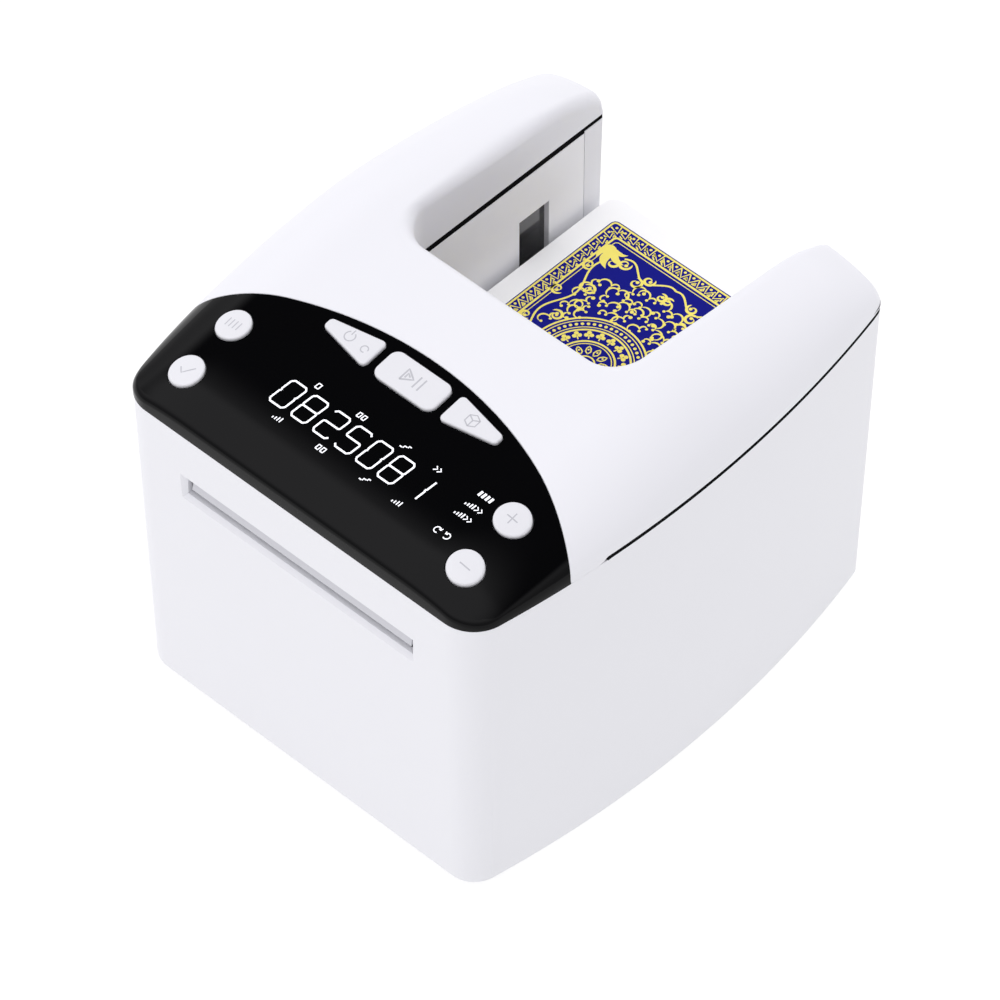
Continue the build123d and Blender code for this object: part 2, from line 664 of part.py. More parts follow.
cover = skin - bay_prism(0, seam_z - 20, seam_z + 60)
cover = cover & above(seam_z)
rim = []
for e in cover.edges():
    box = e.bounding_box()
    inside = max(abs(box.min.X), abs(box.max.X)) < bay_half + 0.1 and box.min.Y > bay_front_y - 0.1
    if inside and box.min.Z > seam_z + 3.0 and box.size.Z < 40 and abs((e % 0.5).Z) < 0.95:
        rim.append(e)
cover = fillet(rim, bay_rim_round)
cover -= under_skin - bay_wall
cover -= panel_zone(part_line)
cover_post = cylinder(0, 0, seam_z, 3.2, 40)
for px, py in ((-46.0, rear_y - 26.0), (46.0, rear_y - 26.0), (-48.0, bay_front_y - 4), (48.0, bay_front_y - 4)):
    cover += (Pos(px, py, 0) * cover_post) & dome(1.2) & above(seam_z)
save("top_cover", cover)

panel = (skin & panel_zone(0)) & above(shell_top_z + part_line)
front_edges = [e for e in panel.edges() if (e @ 0.5).Y < arc_front_y - 16 and e.bounding_box().min.Z > seam_z + 1.5]
panel = fillet(front_edges, panel_lip)
panel -= under_skin

# ---------------------------------------------------------------- keys
lean = math.radians(board_tilt)
key_normal = Vector(0, -math.sin(lean), math.cos(lean))
board_y = (front_y + 8.0 + arc_front_y - 3.0) / 2
board_point = Vector(0, board_y, seam_z + crown(board_y)) - key_normal * board_depth


def key_plane(x, y):
    """Work plane on the skin, square to the keypad board."""
    return Plane(origin=(x, y, seam_z + crown(y)), x_dir=(1, 0, 0), z_dir=tuple(key_normal))


def round_key(grow):
    return Circle(key_diameter / 2 + grow)


def bar_key(grow):
    return RectangleRounded(17.9 + 2 * grow, 8.7 + 2 * grow, 2.4 + grow)


def wing_key(side):
    """Rounded wedge that narrows away from the middle."""

    def shape(grow):
        points = [(-side * 7.3, 4.2), (side * 7.5, 1.4), (side * 7.5, -1.4), (-side * 7.3, -4.2)]
        wedge = make_face(Polyline(*points, close=True))
        wedge = fillet(wedge.vertices(), 1.2)
        return offset(wedge, grow) if grow else wedge

    return shape


front_key_y = front_y + 10.0
rear_key_y = front_y + 24.9
arc_key_y = arc_front_y - 7.0
side_key_x = 42.3
keys = {
    "key_mode": (-side_key_x, rear_key_y, round_key),
    "key_ok": (-side_key_x, front_key_y, round_key),
    "key_plus": (side_key_x, rear_key_y, round_key),
    "key_minus": (side_key_x, front_key_y, round_key),
    "key_power": (-18.6, arc_key_y, wing_key(-1)),
    "key_play": (0.0, arc_key_y, bar_key),
    "key_dice": (18.6, arc_key_y, wing_key(1)),
}
switch_solids = []
for name, (kx, ky, shape) in keys.items():
    plane = key_plane(kx, ky)
    depth = (plane.origin - board_point).dot(key_normal)
    panel -= extrude(plane * shape(key_gap), 12, both=True)
    cap = extrude(plane * shape(0), 12, both=True)
    flange_top = panel_wall + 1.7
    lift = key_normal * key_proud
    cap = cap & (Pos(lift.X, lift.Y, lift.Z) * skin)
    cap -= extrude(plane.offset(-flange_top) * Rectangle(60, 60), -30)
    flange = extrude(plane.offset(-flange_top) * shape(0.8), -key_flange)
    stem_length = depth - flange_top - key_flange - switch_height - key_travel - clearance
    stem = extrude(plane.offset(-flange_top - key_flange) * Circle(key_stem / 2), -stem_length)
    save(name, cap + flange + stem)
    seat = plane.offset(-depth)
    switch = extrude(seat * Rectangle(6, 6), switch_height - 0.7) + extrude(seat * Circle(1.5), switch_height)
    switch_solids.append(switch)
save("control_panel", panel)
save("key_switches", *switch_solids)
board_plane = Plane(origin=tuple(board_point), x_dir=(1, 0, 0), z_dir=tuple(key_normal))
board_length = (arc_front_y - 2.0) - (front_y + 6.5)
board = extrude(board_plane * RectangleRounded(98, board_length, 4), -board_thickness)
save("keypad_board", board)
digit_y = front_y + 18.8
digit_plane = key_plane(0, digit_y)
digit_depth = (digit_plane.origin - board_point).dot(key_normal)
display = extrude(digit_plane.offset(-digit_depth) * Rectangle(52, 13), digit_depth - panel_wall - 0.8)
save("display_module", display)

# ---------------------------------------------------------------- boards, battery and charging
board_z = cup_top + 3.0
main_board = block(-34, 6, front_y + 6.0, front_y + 45.0, board_z, board_z + 1.6)
save("main_board", main_board)
chips = [
    block(-24, -14, front_y + 20, front_y + 30, board_z + 1.6, board_z + 3.0),
    block(-8, -2, front_y + 12, front_y + 18, board_z + 1.6, board_z + 2.8),
    block(-10, 2, front_y + 34, front_y + 40, board_z + 1.6, board_z + 5.6),
    block(-31, -25, front_y + 36, front_y + 42, board_z + 1.6, board_z + 4.6),
]
save("board_parts", *chips)
spots = [(-31.0, front_y + 26.0), (3.0, front_y + 28.0), (-17.0, front_y + 42.0)]
save("board_standoffs", *[cylinder(px, py, cup_top, 2.0, board_z - cup_top) for px, py in spots])
battery = block(-30, 30, 4, 54, screw_top + 1.2, liner_low - 0.4)
battery = fillet(battery.edges().filter_by(Axis.Z), 2.0)
save("battery_pack", battery)
port_x0, port_x1 = port_x - port_width / 2, port_x + port_width / 2
port_z0, port_z1 = port_z - port_height / 2, port_z + port_height / 2
port = block(port_x0, port_x1, port_y - 7, port_y, port_z0, port_z1)
port = fillet(port.edges().filter_by(Axis.Y), 1.5)
socket = block(port_x0 + 0.4, port_x1 - 0.4, port_y - 6, port_y + 1, port_z0 + 0.4, port_z1 - 0.4)
socket = fillet(socket.edges().filter_by(Axis.Y), 1.1)
tongue = block(port_x - 3.3, port_x + 3.3, port_y - 6.2, port_y - 1.0, port_z - 0.35, port_z + 0.35)
save("charge_port", port - socket + tongue)
save("charge_board", block(port_x0, port_x1, port_y - 18, port_y - 3.0, port_z0 - 1.6, port_z0))
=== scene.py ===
import math
import random

import bmesh
import bpy
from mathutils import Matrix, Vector


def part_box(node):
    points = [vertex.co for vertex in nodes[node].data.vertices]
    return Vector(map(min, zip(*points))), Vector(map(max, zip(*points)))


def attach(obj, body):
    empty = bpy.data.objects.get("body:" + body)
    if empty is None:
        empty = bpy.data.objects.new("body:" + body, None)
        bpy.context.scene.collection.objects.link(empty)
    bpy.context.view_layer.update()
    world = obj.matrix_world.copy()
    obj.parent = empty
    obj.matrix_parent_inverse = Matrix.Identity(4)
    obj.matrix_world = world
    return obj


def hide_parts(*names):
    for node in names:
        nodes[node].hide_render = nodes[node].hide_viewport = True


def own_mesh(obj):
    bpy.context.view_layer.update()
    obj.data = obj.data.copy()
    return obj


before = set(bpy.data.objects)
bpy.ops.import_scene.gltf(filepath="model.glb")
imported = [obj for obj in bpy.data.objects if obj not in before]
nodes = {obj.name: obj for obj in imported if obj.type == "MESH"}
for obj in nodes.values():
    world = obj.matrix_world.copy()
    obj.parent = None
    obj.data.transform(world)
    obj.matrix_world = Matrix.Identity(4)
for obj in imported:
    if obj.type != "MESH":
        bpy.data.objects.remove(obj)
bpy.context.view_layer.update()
MM = 0.001

# ---------------------------------------------------------------- turntable base
# The disc the whole machine turns on: black nylon with a soft rubber foot ring under it.
# The ring gear, the glide ring and the spindle's washer and screw are fixed to its top.


def moulded(name, colour, rough=0.4, grain=0.00004, grain_size=0.0006, coat=0.0, mottle=0.02):
    """Injection-moulded plastic: fine spark-eroded grain and a faint change of tone."""
    finish = bpy.data.materials.new(name)
    finish.use_nodes = True
    tree = finish.node_tree
    shader = tree.nodes["Principled BSDF"]
    shader.inputs["Coat Weight"].default_value = coat
    shader.inputs["Coat Roughness"].default_value = 0.08
    place = tree.nodes.new("ShaderNodeTexCoord")
    cloud = tree.nodes.new("ShaderNodeTexNoise")
    cloud.inputs["Scale"].default_value = 35.0
    cloud.inputs["Detail"].default_value = 3.0
    tree.links.new(place.outputs["Object"], cloud.inputs["Vector"])
    tone = tree.nodes.new("ShaderNodeMixRGB")
    tone.inputs[1].default_value = (*[c * (1 - mottle) for c in colour], 1)
    tone.inputs[2].default_value = (*[min(c * (1 + mottle), 1.0) for c in colour], 1)
    tree.links.new(cloud.outputs["Fac"], tone.inputs[0])
    tree.links.new(tone.outputs[0], shader.inputs["Base Color"])
    speckle = tree.nodes.new("ShaderNodeTexNoise")
    speckle.inputs["Scale"].default_value = 1.0 / grain_size
    speckle.inputs["Detail"].default_value = 2.0
    tree.links.new(place.outputs["Object"], speckle.inputs["Vector"])
    spread = tree.nodes.new("ShaderNodeMapRange")
    spread.inputs["To Min"].default_value = rough * 0.88
    spread.inputs["To Max"].default_value = min(rough * 1.12, 1.0)
    tree.links.new(speckle.outputs["Fac"], spread.inputs["Value"])
    tree.links.new(spread.outputs["Result"], shader.inputs["Roughness"])
    if grain:
        bump = tree.nodes.new("ShaderNodeBump")
        bump.inputs["Strength"].default_value = 0.35
        bump.inputs["Distance"].default_value = grain
        tree.links.new(speckle.outputs["Fac"], bump.inputs["Height"])
        tree.links.new(bump.outputs["Normal"], shader.inputs["Normal"])
    return finish


def turned_metal(name, colour, rough=0.28, lines=900.0, along=(1, 1, 6)):
    """Machined or drawn metal: fine lay marks that vary the gloss."""
    finish = bpy.data.materials.new(name)
    finish.use_nodes = True
    tree = finish.node_tree
    shader = tree.nodes["Principled BSDF"]
    shader.inputs["Metallic"].default_value = 1.0
    place = tree.nodes.new("ShaderNodeTexCoord")
    stretch = tree.nodes.new("ShaderNodeMapping")
    stretch.inputs["Scale"].default_value = along
    tree.links.new(place.outputs["Object"], stretch.inputs["Vector"])
    lay = tree.nodes.new("ShaderNodeTexNoise")
    lay.inputs["Scale"].default_value = lines
    lay.inputs["Detail"].default_value = 4.0
    tree.links.new(stretch.outputs["Vector"], lay.inputs["Vector"])
    tone = tree.nodes.new("ShaderNodeMixRGB")
    tone.inputs[1].default_value = (*[c * 0.82 for c in colour], 1)
    tone.inputs[2].default_value = (*colour, 1)
    tree.links.new(lay.outputs["Fac"], tone.inputs[0])
    tree.links.new(tone.outputs[0], shader.inputs["Base Color"])
    spread = tree.nodes.new("ShaderNodeMapRange")
    spread.inputs["To Min"].default_value = rough * 0.7
    spread.inputs["To Max"].default_value = rough * 1.4
    tree.links.new(lay.outputs["Fac"], spread.inputs["Value"])
    tree.links.new(spread.outputs["Result"], shader.inputs["Roughness"])
    return finish


def finish_nodes(finish, *names):
    """Give CAD pieces their material."""
    for name in names:
        mesh = nodes[name].data
        mesh.materials.clear()
        mesh.materials.append(finish)


black_nylon = moulded("black_nylon", (0.016, 0.016, 0.018), rough=0.5, grain=0.00006)
soft_rubber = moulded("soft_rubber", (0.022, 0.022, 0.024), rough=0.78, grain=0.00008, grain_size=0.0009)
acetal = moulded("natural_acetal", (0.80, 0.78, 0.70), rough=0.36, grain=0.00002)
bright_steel = turned_metal("bright_steel", (0.60, 0.60, 0.62))
bronze = turned_metal("sintered_bronze", (0.52, 0.33, 0.15), rough=0.45, along=(1, 1, 1))
finish_nodes(black_nylon, "turntable_disc")
finish_nodes(soft_rubber, "foot_ring")
finish_nodes(acetal, "glide_ring", "ring_gear")
finish_nodes(bright_steel, "spindle_washer", "spindle_screw")
finish_nodes(bronze, "spindle_bush")

# ---------------------------------------------------------------- lower casing
# One tall box moulded in satin white ABS, with drafted, bowed walls and the card slot in front.
# The bottom cover closes it, held by sunk screws.
white_abs = moulded(
    "satin_white_abs", (0.84, 0.84, 0.88), rough=0.38, grain=0.00002, grain_size=0.0005, mottle=0.006
)


def rounded_copy(name, finish, node, angle=28.0):
    """A merged, smooth-shaded copy of a CAD piece, so that its bowed walls reflect evenly."""
    source = nodes[node]
    mesh = source.data.copy()
    piece = bpy.data.objects.new(name, mesh)
    bpy.context.scene.collection.objects.link(piece)
    work = bmesh.new()
    work.from_mesh(mesh)
    bmesh.ops.remove_doubles(work, verts=work.verts, dist=2e-6)
    for face in work.faces:
        face.smooth = True
    limit = math.radians(angle)
    for edge in work.edges:
        edge.smooth = len(edge.link_faces) == 2 and edge.calc_face_angle(0.0) < limit
    work.to_mesh(mesh)
    work.free()
    mesh.materials.clear()
    mesh.materials.append(finish)
    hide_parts(node)
    return piece


casing = rounded_copy("lower_casing", white_abs, "lower_shell")
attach(casing, "housing")
finish_nodes(white_abs, "bottom_cover")
finish_nodes(bright_steel, "bottom_screws")

# ---------------------------------------------------------------- drive, boards and battery
# Everything under the bay: the turn motor on the hub floor, the main board on its standoffs,
# the flat battery pack in its sleeve and the charging socket in the rear wall.
zinc_can = turned_metal("zinc_plated_can", (0.55, 0.56, 0.58), rough=0.34, along=(1, 1, 3))
solder_mask = moulded("green_solder_mask", (0.01, 0.11, 0.045), rough=0.28, grain=0.00003, grain_size=0.0012)
chip_black = moulded("moulded_packages", (0.012, 0.012, 0.013), rough=0.55)
sleeve_blue = moulded("battery_sleeve", (0.03, 0.09, 0.34), rough=0.22, grain=0.00008, grain_size=0.004)
finish_nodes(zinc_can, "turn_motor", "feed_motor", "eject_motor")
finish_nodes(acetal, "turn_pinion", "feed_pinion", "eject_pinion")
finish_nodes(acetal, "feed_idler", "feed_gear", "eject_gear", "feed_hubs")
finish_nodes(solder_mask, "main_board", "charge_board", "keypad_board")
finish_nodes(chip_black, "board_parts", "key_switches", "deck_sensor", "card_sensor", "display_module")
finish_nodes(sleeve_blue, "battery_pack")
finish_nodes(bright_steel, "board_standoffs", "charge_port", "idler_pin")
finish_nodes(bright_steel, "feed_shaft", "eject_shaft", "pressure_shaft")

# ---------------------------------------------------------------- mechanism
# A black nylon frame carries the rollers in bronze bushes; two chute plates guide the card out.
finish_nodes(black_nylon, "mechanism_frame")
finish_nodes(bronze, "roller_bushes")
finish_nodes(soft_rubber, "feed_tyres", "eject_tyres", "pressure_tyres")

# ---------------------------------------------------------------- bay liner and lift plate
# Pale grey liner of the card bay with a smoked window for the deck sensor, and the sprung
# plate that lifts the cards to the feed roller.
liner_abs = moulded("pale_grey_abs", (0.93, 0.93, 0.96), rough=0.42, grain=0.00003, mottle=0.01)
smoked = moulded("smoked_window", (0.02, 0.02, 0.022), rough=0.12, grain=0.0, coat=0.6)
foam = moulded("lift_pad_foam", (0.03, 0.03, 0.034), rough=0.9, grain=0.00015, grain_size=0.0008)
finish_nodes(liner_abs, "bay_liner", "lift_plate", "lower_chute", "upper_chute")
finish_nodes(smoked, "bay_window")
finish_nodes(foam, "lift_pad")
coils = rounded_copy("conical_springs", bright_steel, "lift_springs", 60)
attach(coils, "housing")
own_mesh(coils)
spacer_black = moulded("spacer_black", (0.008, 0.008, 0.009), rough=0.6)
finish_nodes(spacer_black, "seam_spacer")

# ---------------------------------------------------------------- top cover
# U-shaped shell over the card bay, moulded in the same white ABS: domed over its depth, rolled
# over at the sides, with a soft rim round the bay. It sits on the black spacer.
FRONT = -67.5
REAR = 68.6
SEAM = 92.3
SEAM_TILT = math.tan(math.radians(0.3))
SHELL_TOP = 91.4
BAY_HALF = 33.5
BAY_FRONT = 0.7
BAY_CORNER = 9.0
ARC_BACK = BAY_FRONT - 23.0
ARC_RADIUS = 100.0
BOW = ((53.2, FRONT), (60.5, 2.0), (52.85, REAR))
CROWN = [
    (FRONT, 3.4), (FRONT + 9.9, 6.7), (FRONT + 24.9, 9.8), (ARC_BACK - 7.0, 11.8), (ARC_BACK, 12.8),
    (BAY_FRONT - 11.0, 14.5), (BAY_FRONT, 15.7), (BAY_FRONT + 6.0, 16.2), (BAY_FRONT + 13.0, 16.0),
    (REAR - 43.6, 15.1), (REAR - 32.6, 14.3), (REAR - 21.6, 13.3), (REAR - 10.6, 11.6),
    (REAR - 3.0, 8.6), (REAR, 6.7),
]


def bow_circle():
    """Centre and radius of the bowed side."""
    (x1, y1), (x2, y2), (x3, y3) = BOW
    d = 2 * (x1 * (y2 - y3) + x2 * (y3 - y1) + x3 * (y1 - y2))
    s1, s2, s3 = x1 * x1 + y1 * y1, x2 * x2 + y2 * y2, x3 * x3 + y3 * y3
    cx = (s1 * (y2 - y3) + s2 * (y3 - y1) + s3 * (y1 - y2)) / d
    cy = (s1 * (x3 - x2) + s2 * (x1 - x3) + s3 * (x2 - x1)) / d
    return cx, cy, math.hypot(x1 - cx, y1 - cy)


BOW_X, BOW_Y, BOW_R = bow_circle()


def side_x(y):
    return BOW_X + math.sqrt(BOW_R ** 2 - (y - BOW_Y) ** 2)


def crown(y):
    """Rise of the cover's middle over the seam at depth y."""
    y = min(max(y, CROWN[0][0]), CROWN[-1][0])
    k = max(i for i in range(len(CROWN) - 1) if CROWN[i][0] <= y)

    def slope(i):
        lo, hi = max(i - 1, 0), min(i + 1, len(CROWN) - 1)
        return (CROWN[hi][1] - CROWN[lo][1]) / (CROWN[hi][0] - CROWN[lo][0])

    span = CROWN[k + 1][0] - CROWN[k][0]
    t = (y - CROWN[k][0]) / span
    a = (2 * t**3 - 3 * t**2 + 1) * CROWN[k][1] + (3 * t**2 - 2 * t**3) * CROWN[k + 1][1]
    b = (t**3 - 2 * t**2 + t) * slope(k) + (t**3 - t**2) * slope(k + 1)
    return a + b * span


def dome(x, y):
    """Height of the moulded top at a point of the plan."""
    half = side_x(y) + 0.4
    top = SEAM + crown(y)
    start = min(SEAM - 1.2, top - 1.5)
    over = max(abs(x) - (half - 22.0), 0.0) / 22.0
    return start + (top - start) * math.sqrt(max(1.0 - over * over, 0.0))


def spaced(points, count):
    """Points evenly spaced along a polyline."""
    lengths = [0.0]
    for a, b in zip(points, points[1:]):
        lengths.append(lengths[-1] + math.hypot(b[0] - a[0], b[1] - a[1]))
    out = []
    k = 0
    for i in range(count):
        s = lengths[-1] * i / (count - 1)
        while k < len(points) - 2 and lengths[k + 1] < s:
            k += 1
        t = (s - lengths[k]) / max(lengths[k + 1] - lengths[k], 1e-9)
        a, b = points[k], points[k + 1]
        out.append((a[0] + (b[0] - a[0]) * t, a[1] + (b[1] - a[1]) * t))
    return out


def arc_line(cx, cy, radius, start, end, steps=40):
    angles = [start + (end - start) * i / steps for i in range(steps + 1)]
    return [(cx + radius * math.cos(a), cy + radius * math.sin(a)) for a in angles]


def corner(before, at, after, radius, steps=14):
    """Points of a rounded corner of the plan."""
    ax, ay = before[0] - at[0], before[1] - at[1]
    bx, by = after[0] - at[0], after[1] - at[1]
    la, lb = math.hypot(ax, ay), math.hypot(bx, by)
    ax, ay, bx, by = ax / la, ay / la, bx / lb, by / lb
    half = math.acos(max(-1.0, min(1.0, ax * bx + ay * by))) / 2
    reach = radius / math.tan(half)
    mx, my = ax + bx, ay + by
    lm = math.hypot(mx, my)
    cx, cy = at[0] + mx / lm * radius / math.sin(half), at[1] + my / lm * radius / math.sin(half)
    p0 = (at[0] + ax * reach, at[1] + ay * reach)
    p1 = (at[0] + bx * reach, at[1] + by * reach)
    a0 = math.atan2(p0[1] - cy, p0[0] - cx)
    a1 = math.atan2(p1[1] - cy, p1[0] - cx)
    while a1 - a0 > math.pi:
        a1 -= 2 * math.pi
    while a1 - a0 < -math.pi:
        a1 += 2 * math.pi
    return arc_line(cx, cy, radius, a0, a1, steps)


def strip_shell(name, outer, inner, outer_round, inner_round, low, wall, rows=44):
    """Closed moulded shell between two plan curves, its top on the dome, its rims rounded.

    outer and inner are matched lists of plan points, the rounds are lists of rim radii, and low
    gives the height of the bottom edge at a depth."""
    count = len(outer)
    work = bmesh.new()

    def rung(i, inset, drop):
        (ox, oy), (ix, iy) = outer[i], inner[i]
        span = math.hypot(ix - ox, iy - oy)
        ux, uy = ((ix - ox) / span, (iy - oy) / span) if span > 1e-6 else (0.0, 0.0)
        line = []
        inset = min(inset, 0.45 * span)
        for j in range(rows + 1):
            v = 0.5 - 0.5 * math.cos(math.pi * j / rows)
            v = v if span > 8 else j / rows
            d = inset + v * (span - 2 * inset)
            x, y = ox + ux * d, oy + uy * d
            z = dome(x, y) - drop
            for reach, radius in ((d, outer_round[i]), (span - d, inner_round[i])):
                if radius > 0 and reach < radius:
                    z -= radius - math.sqrt(max(radius**2 - (radius - reach) ** 2, 0.0))
            line.append(Vector((x, y, max(z, low(y) + 0.2))))
        start, end = line[0].copy(), line[-1].copy()
        start.z, end.z = low(start.y), low(end.y)
        return [start] + line + [end]

    outside = [rung(i, 0.0, 0.0) for i in range(count)]
    inside = [rung(i, wall, wall) for i in range(count)]
    rings = []
    for i in range(count):
        loop = outside[i] + list(reversed(inside[i]))
        rings.append([work.verts.new(p * MM) for p in loop])
    around = len(rings[0])
    for i in range(count - 1):
        for j in range(around):
            k = (j + 1) % around
            work.faces.new((rings[i][j], rings[i][k], rings[i + 1][k], rings[i + 1][j]))
    for i in (0, count - 1):
        half = around // 2
        for j in range(half - 1):
            quad = (rings[i][j], rings[i][j + 1], rings[i][around - 2 - j], rings[i][around - 1 - j])
            work.faces.new(quad if i == 0 else tuple(reversed(quad)))
    bmesh.ops.remove_doubles(work, verts=work.verts, dist=1e-5)
    bmesh.ops.recalc_face_normals(work, faces=work.faces)
    for face in work.faces:
        face.smooth = True
    for edge in work.edges:
        edge.smooth = len(edge.link_faces) == 2 and edge.calc_face_angle(0.0) < math.radians(35)
    mesh = bpy.data.meshes.new(name)
    work.to_mesh(mesh)
    work.free()
    piece = bpy.data.objects.new(name, mesh)
    bpy.context.scene.collection.objects.link(piece)
    return piece


def arc_y(x):
    """Rear edge of the control panel."""
    return ARC_BACK - ARC_RADIUS + math.sqrt(ARC_RADIUS**2 - x * x)


arc_end_x = max(x * 0.1 for x in range(400, 640) if x * 0.1 < side_x(arc_y(x * 0.1)))
arc_end_y = arc_y(arc_end_x)
right_side = [(side_x(y), y) for y in [arc_end_y + (REAR - arc_end_y) * i / 60 for i in range(61)]]
rear_corner = corner(right_side[-8], right_side[-1], (0, REAR), 5.0)
right_side = [p for p in right_side if p[1] < rear_corner[0][1]]
rear_line = [(BAY_HALF + (rear_corner[-1][0] - BAY_HALF) * i / 10, REAR) for i in range(10, -1, -1)]
half_arc = [(arc_end_x * i / 60, arc_y(arc_end_x * i / 60)) for i in range(61)]
wall_line = [(BAY_HALF, REAR - (REAR - BAY_FRONT - BAY_CORNER) * i / 60) for i in range(61)]
bay_arc = arc_line(BAY_HALF - BAY_CORNER, BAY_FRONT + BAY_CORNER, BAY_CORNER, 0, -math.pi / 2, 20)
bay_line = [((BAY_HALF - BAY_CORNER) * (1 - i / 20), BAY_FRONT) for i in range(21)]
outer_half = (
    spaced(list(reversed(rear_line)) + list(reversed(rear_corner)), 36)[:-1]
    + spaced(list(reversed(right_side)), 90)[:-1]
    + spaced(list(reversed(half_arc)), 80)
)
inner_half = (
    spaced(wall_line[:22], 36)[:-1]
    + spaced(wall_line[21:] + bay_arc[1:6], 90)[:-1]
    + spaced(bay_arc[5:] + bay_line[1:], 80)
)
outer_edge = [(-x, y) for x, y in outer_half] + [p for p in reversed(outer_half)][1:]
inner_edge = [(-x, y) for x, y in inner_half] + [p for p in reversed(inner_half)][1:]
rear_round = []
for x, y in outer_edge:
    on_rear = max(0.0, min(1.0, (y - (REAR - 6.0)) / 5.0))
    on_arc = 0.35 if abs(x) < arc_end_x - 0.3 and y < 0 else 0.0
    rear_round.append(max(1.6 * on_rear, on_arc))


def cover_foot(y):
    """Lower edge of the cover: it closes down onto the casing beside the control panel."""
    closed = max(0.0, min(1.0, (-31.0 - y) / 0.6))
    return SEAM + 0.5 + y * SEAM_TILT - 1.12 * closed


cover = strip_shell(
    "top_cover_shell", outer_edge, inner_edge, rear_round, [3.6] * len(inner_edge), cover_foot, 2.4
)
cover.data.materials.append(white_abs)
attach(cover, "housing")
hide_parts("top_cover")

# Near-black band set into the seam gap between cover and casing, with its gloss turned almost off: painted
# shadow of the gap.
seam_shadow_black = moulded("painted_seam_shadow", (0.0015, 0.0015, 0.002), rough=0.8, grain=0.00005)
seam_shadow_black.node_tree.nodes["Principled BSDF"].inputs["Specular IOR Level"].default_value = 0.05


def flat_band(work, outer, inner, low, high, closed=False):
    """Closed prism between two matched plan lines, from height low(x, y) to high(x, y)."""
    rows = []
    for (ox, oy), (ix, iy) in zip(outer, inner):
        loop = [(ox, oy, low(ox, oy)), (ix, iy, low(ix, iy)), (ix, iy, high(ix, iy)), (ox, oy, high(ox, oy))]
        rows.append([work.verts.new(Vector(q) * MM) for q in loop])
    made = []
    pairs = list(zip(rows, rows[1:])) + ([(rows[-1], rows[0])] if closed else [])
    for a, b in pairs:
        for j in range(4):
            k = (j + 1) % 4
            made.append(work.faces.new((a[j], a[k], b[k], b[j])))
    if not closed:
        made.append(work.faces.new(list(reversed(rows[0]))))
        made.append(work.faces.new(rows[-1]))
    return made


def side_steps(line, reach, closed=False):
    """The plan line moved sideways by reach, to its left."""
    out = []
    n = len(line)
    for i in range(n):
        a = line[(i - 1) % n] if closed else line[max(i - 1, 0)]
        b = line[(i + 1) % n] if closed else line[min(i + 1, n - 1)]
        dx, dy = b[0] - a[0], b[1] - a[1]
        size = math.hypot(dx, dy) or 1.0
        out.append((line[i][0] - dy / size * reach, line[i][1] + dx / size * reach))
    return out


def finished(name, work, finish, body, slot, *replaced, sharp=35):
    """Turn a bmesh into a piece that rides on a body."""
    bmesh.ops.recalc_face_normals(work, faces=work.faces)
    for face in work.faces:
        face.smooth = True
    for edge in work.edges:
        edge.smooth = len(edge.link_faces) == 2 and edge.calc_face_angle(0.0) < math.radians(sharp)
    mesh = bpy.data.meshes.new(name)
    work.to_mesh(mesh)
    work.free()
    mesh.materials.append(finish)
    piece = bpy.data.objects.new(name, mesh)
    bpy.context.scene.collection.objects.link(piece)
    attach(piece, body)
    if replaced:
        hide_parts(*replaced)
    return piece


# The painted seam shadow runs along both sides and round the bay, just inside the cover's lower edge.
right_run = [p for p in outer_edge if p[0] > 0 and p[1] > arc_end_y + 9.6 and p[1] < REAR - 0.01]
left_run = [(-x, y) for x, y in right_run]
bay_run = [(x, y) for x, y in inner_edge]
seam_shadow_bands = bmesh.new()
for run in (right_run, left_run, bay_run):
    middle = run[len(run) // 2]
    left = side_steps(run, 1.0)
    if run is bay_run:
        into = 1.0 if left[len(run) // 2][1] < middle[1] else -1.0
    else:
        into = 1.0 if abs(left[len(run) // 2][0]) < abs(middle[0]) else -1.0
    foot = 0.6 if run is bay_run else 0.0
    skin = 0.15 if run is bay_run else 0.11
    flat_band(
        seam_shadow_bands,
        side_steps(run, skin * into),
        side_steps(run, 1.7 * into),
        lambda x, y, foot=foot: SHELL_TOP - foot + y * SEAM_TILT,
        lambda x, y: SEAM + 0.85 + y * SEAM_TILT,
    )
finished("painted_seam_shadow", seam_shadow_bands, seam_shadow_black, "housing", "spacer")

# ---------------------------------------------------------------- control panel
# Glossy black moulding over the front of the top. It wraps down to the casing with a small
# rolled lip, its rear edge is one wide arc, and each key comes up through its own hole.
panel_black = moulded("gloss_black_panel", (0.0022, 0.0022, 0.0026), rough=0.07, grain=0.0, mottle=0.0)
panel_black.node_tree.nodes["Principled BSDF"].inputs["Specular IOR Level"].default_value = 0.13
LEAN = math.radians(11.0)
KEY_AXIS = Vector((0.0, -math.sin(LEAN), math.cos(LEAN)))
KEY_UP = Vector((0.0, math.cos(LEAN), math.sin(LEAN)))
KEY_GAP = 0.3
KEY_PROUD = 0.6
FRONT_ROW = FRONT + 10.0
REAR_ROW = FRONT + 24.9
ARC_ROW = ARC_BACK - 7.0


KEY_RADIUS = 4.3


def ring_of_points(radius, steps, x=0.0, y=0.0):
    """Points evenly spaced round a circle."""
    turns = [2 * math.pi * i / steps for i in range(steps)]
    return [(x + radius * math.cos(a), y + radius * math.sin(a)) for a in turns]


def round_key(grow):
    return ring_of_points(KEY_RADIUS + grow, 48)


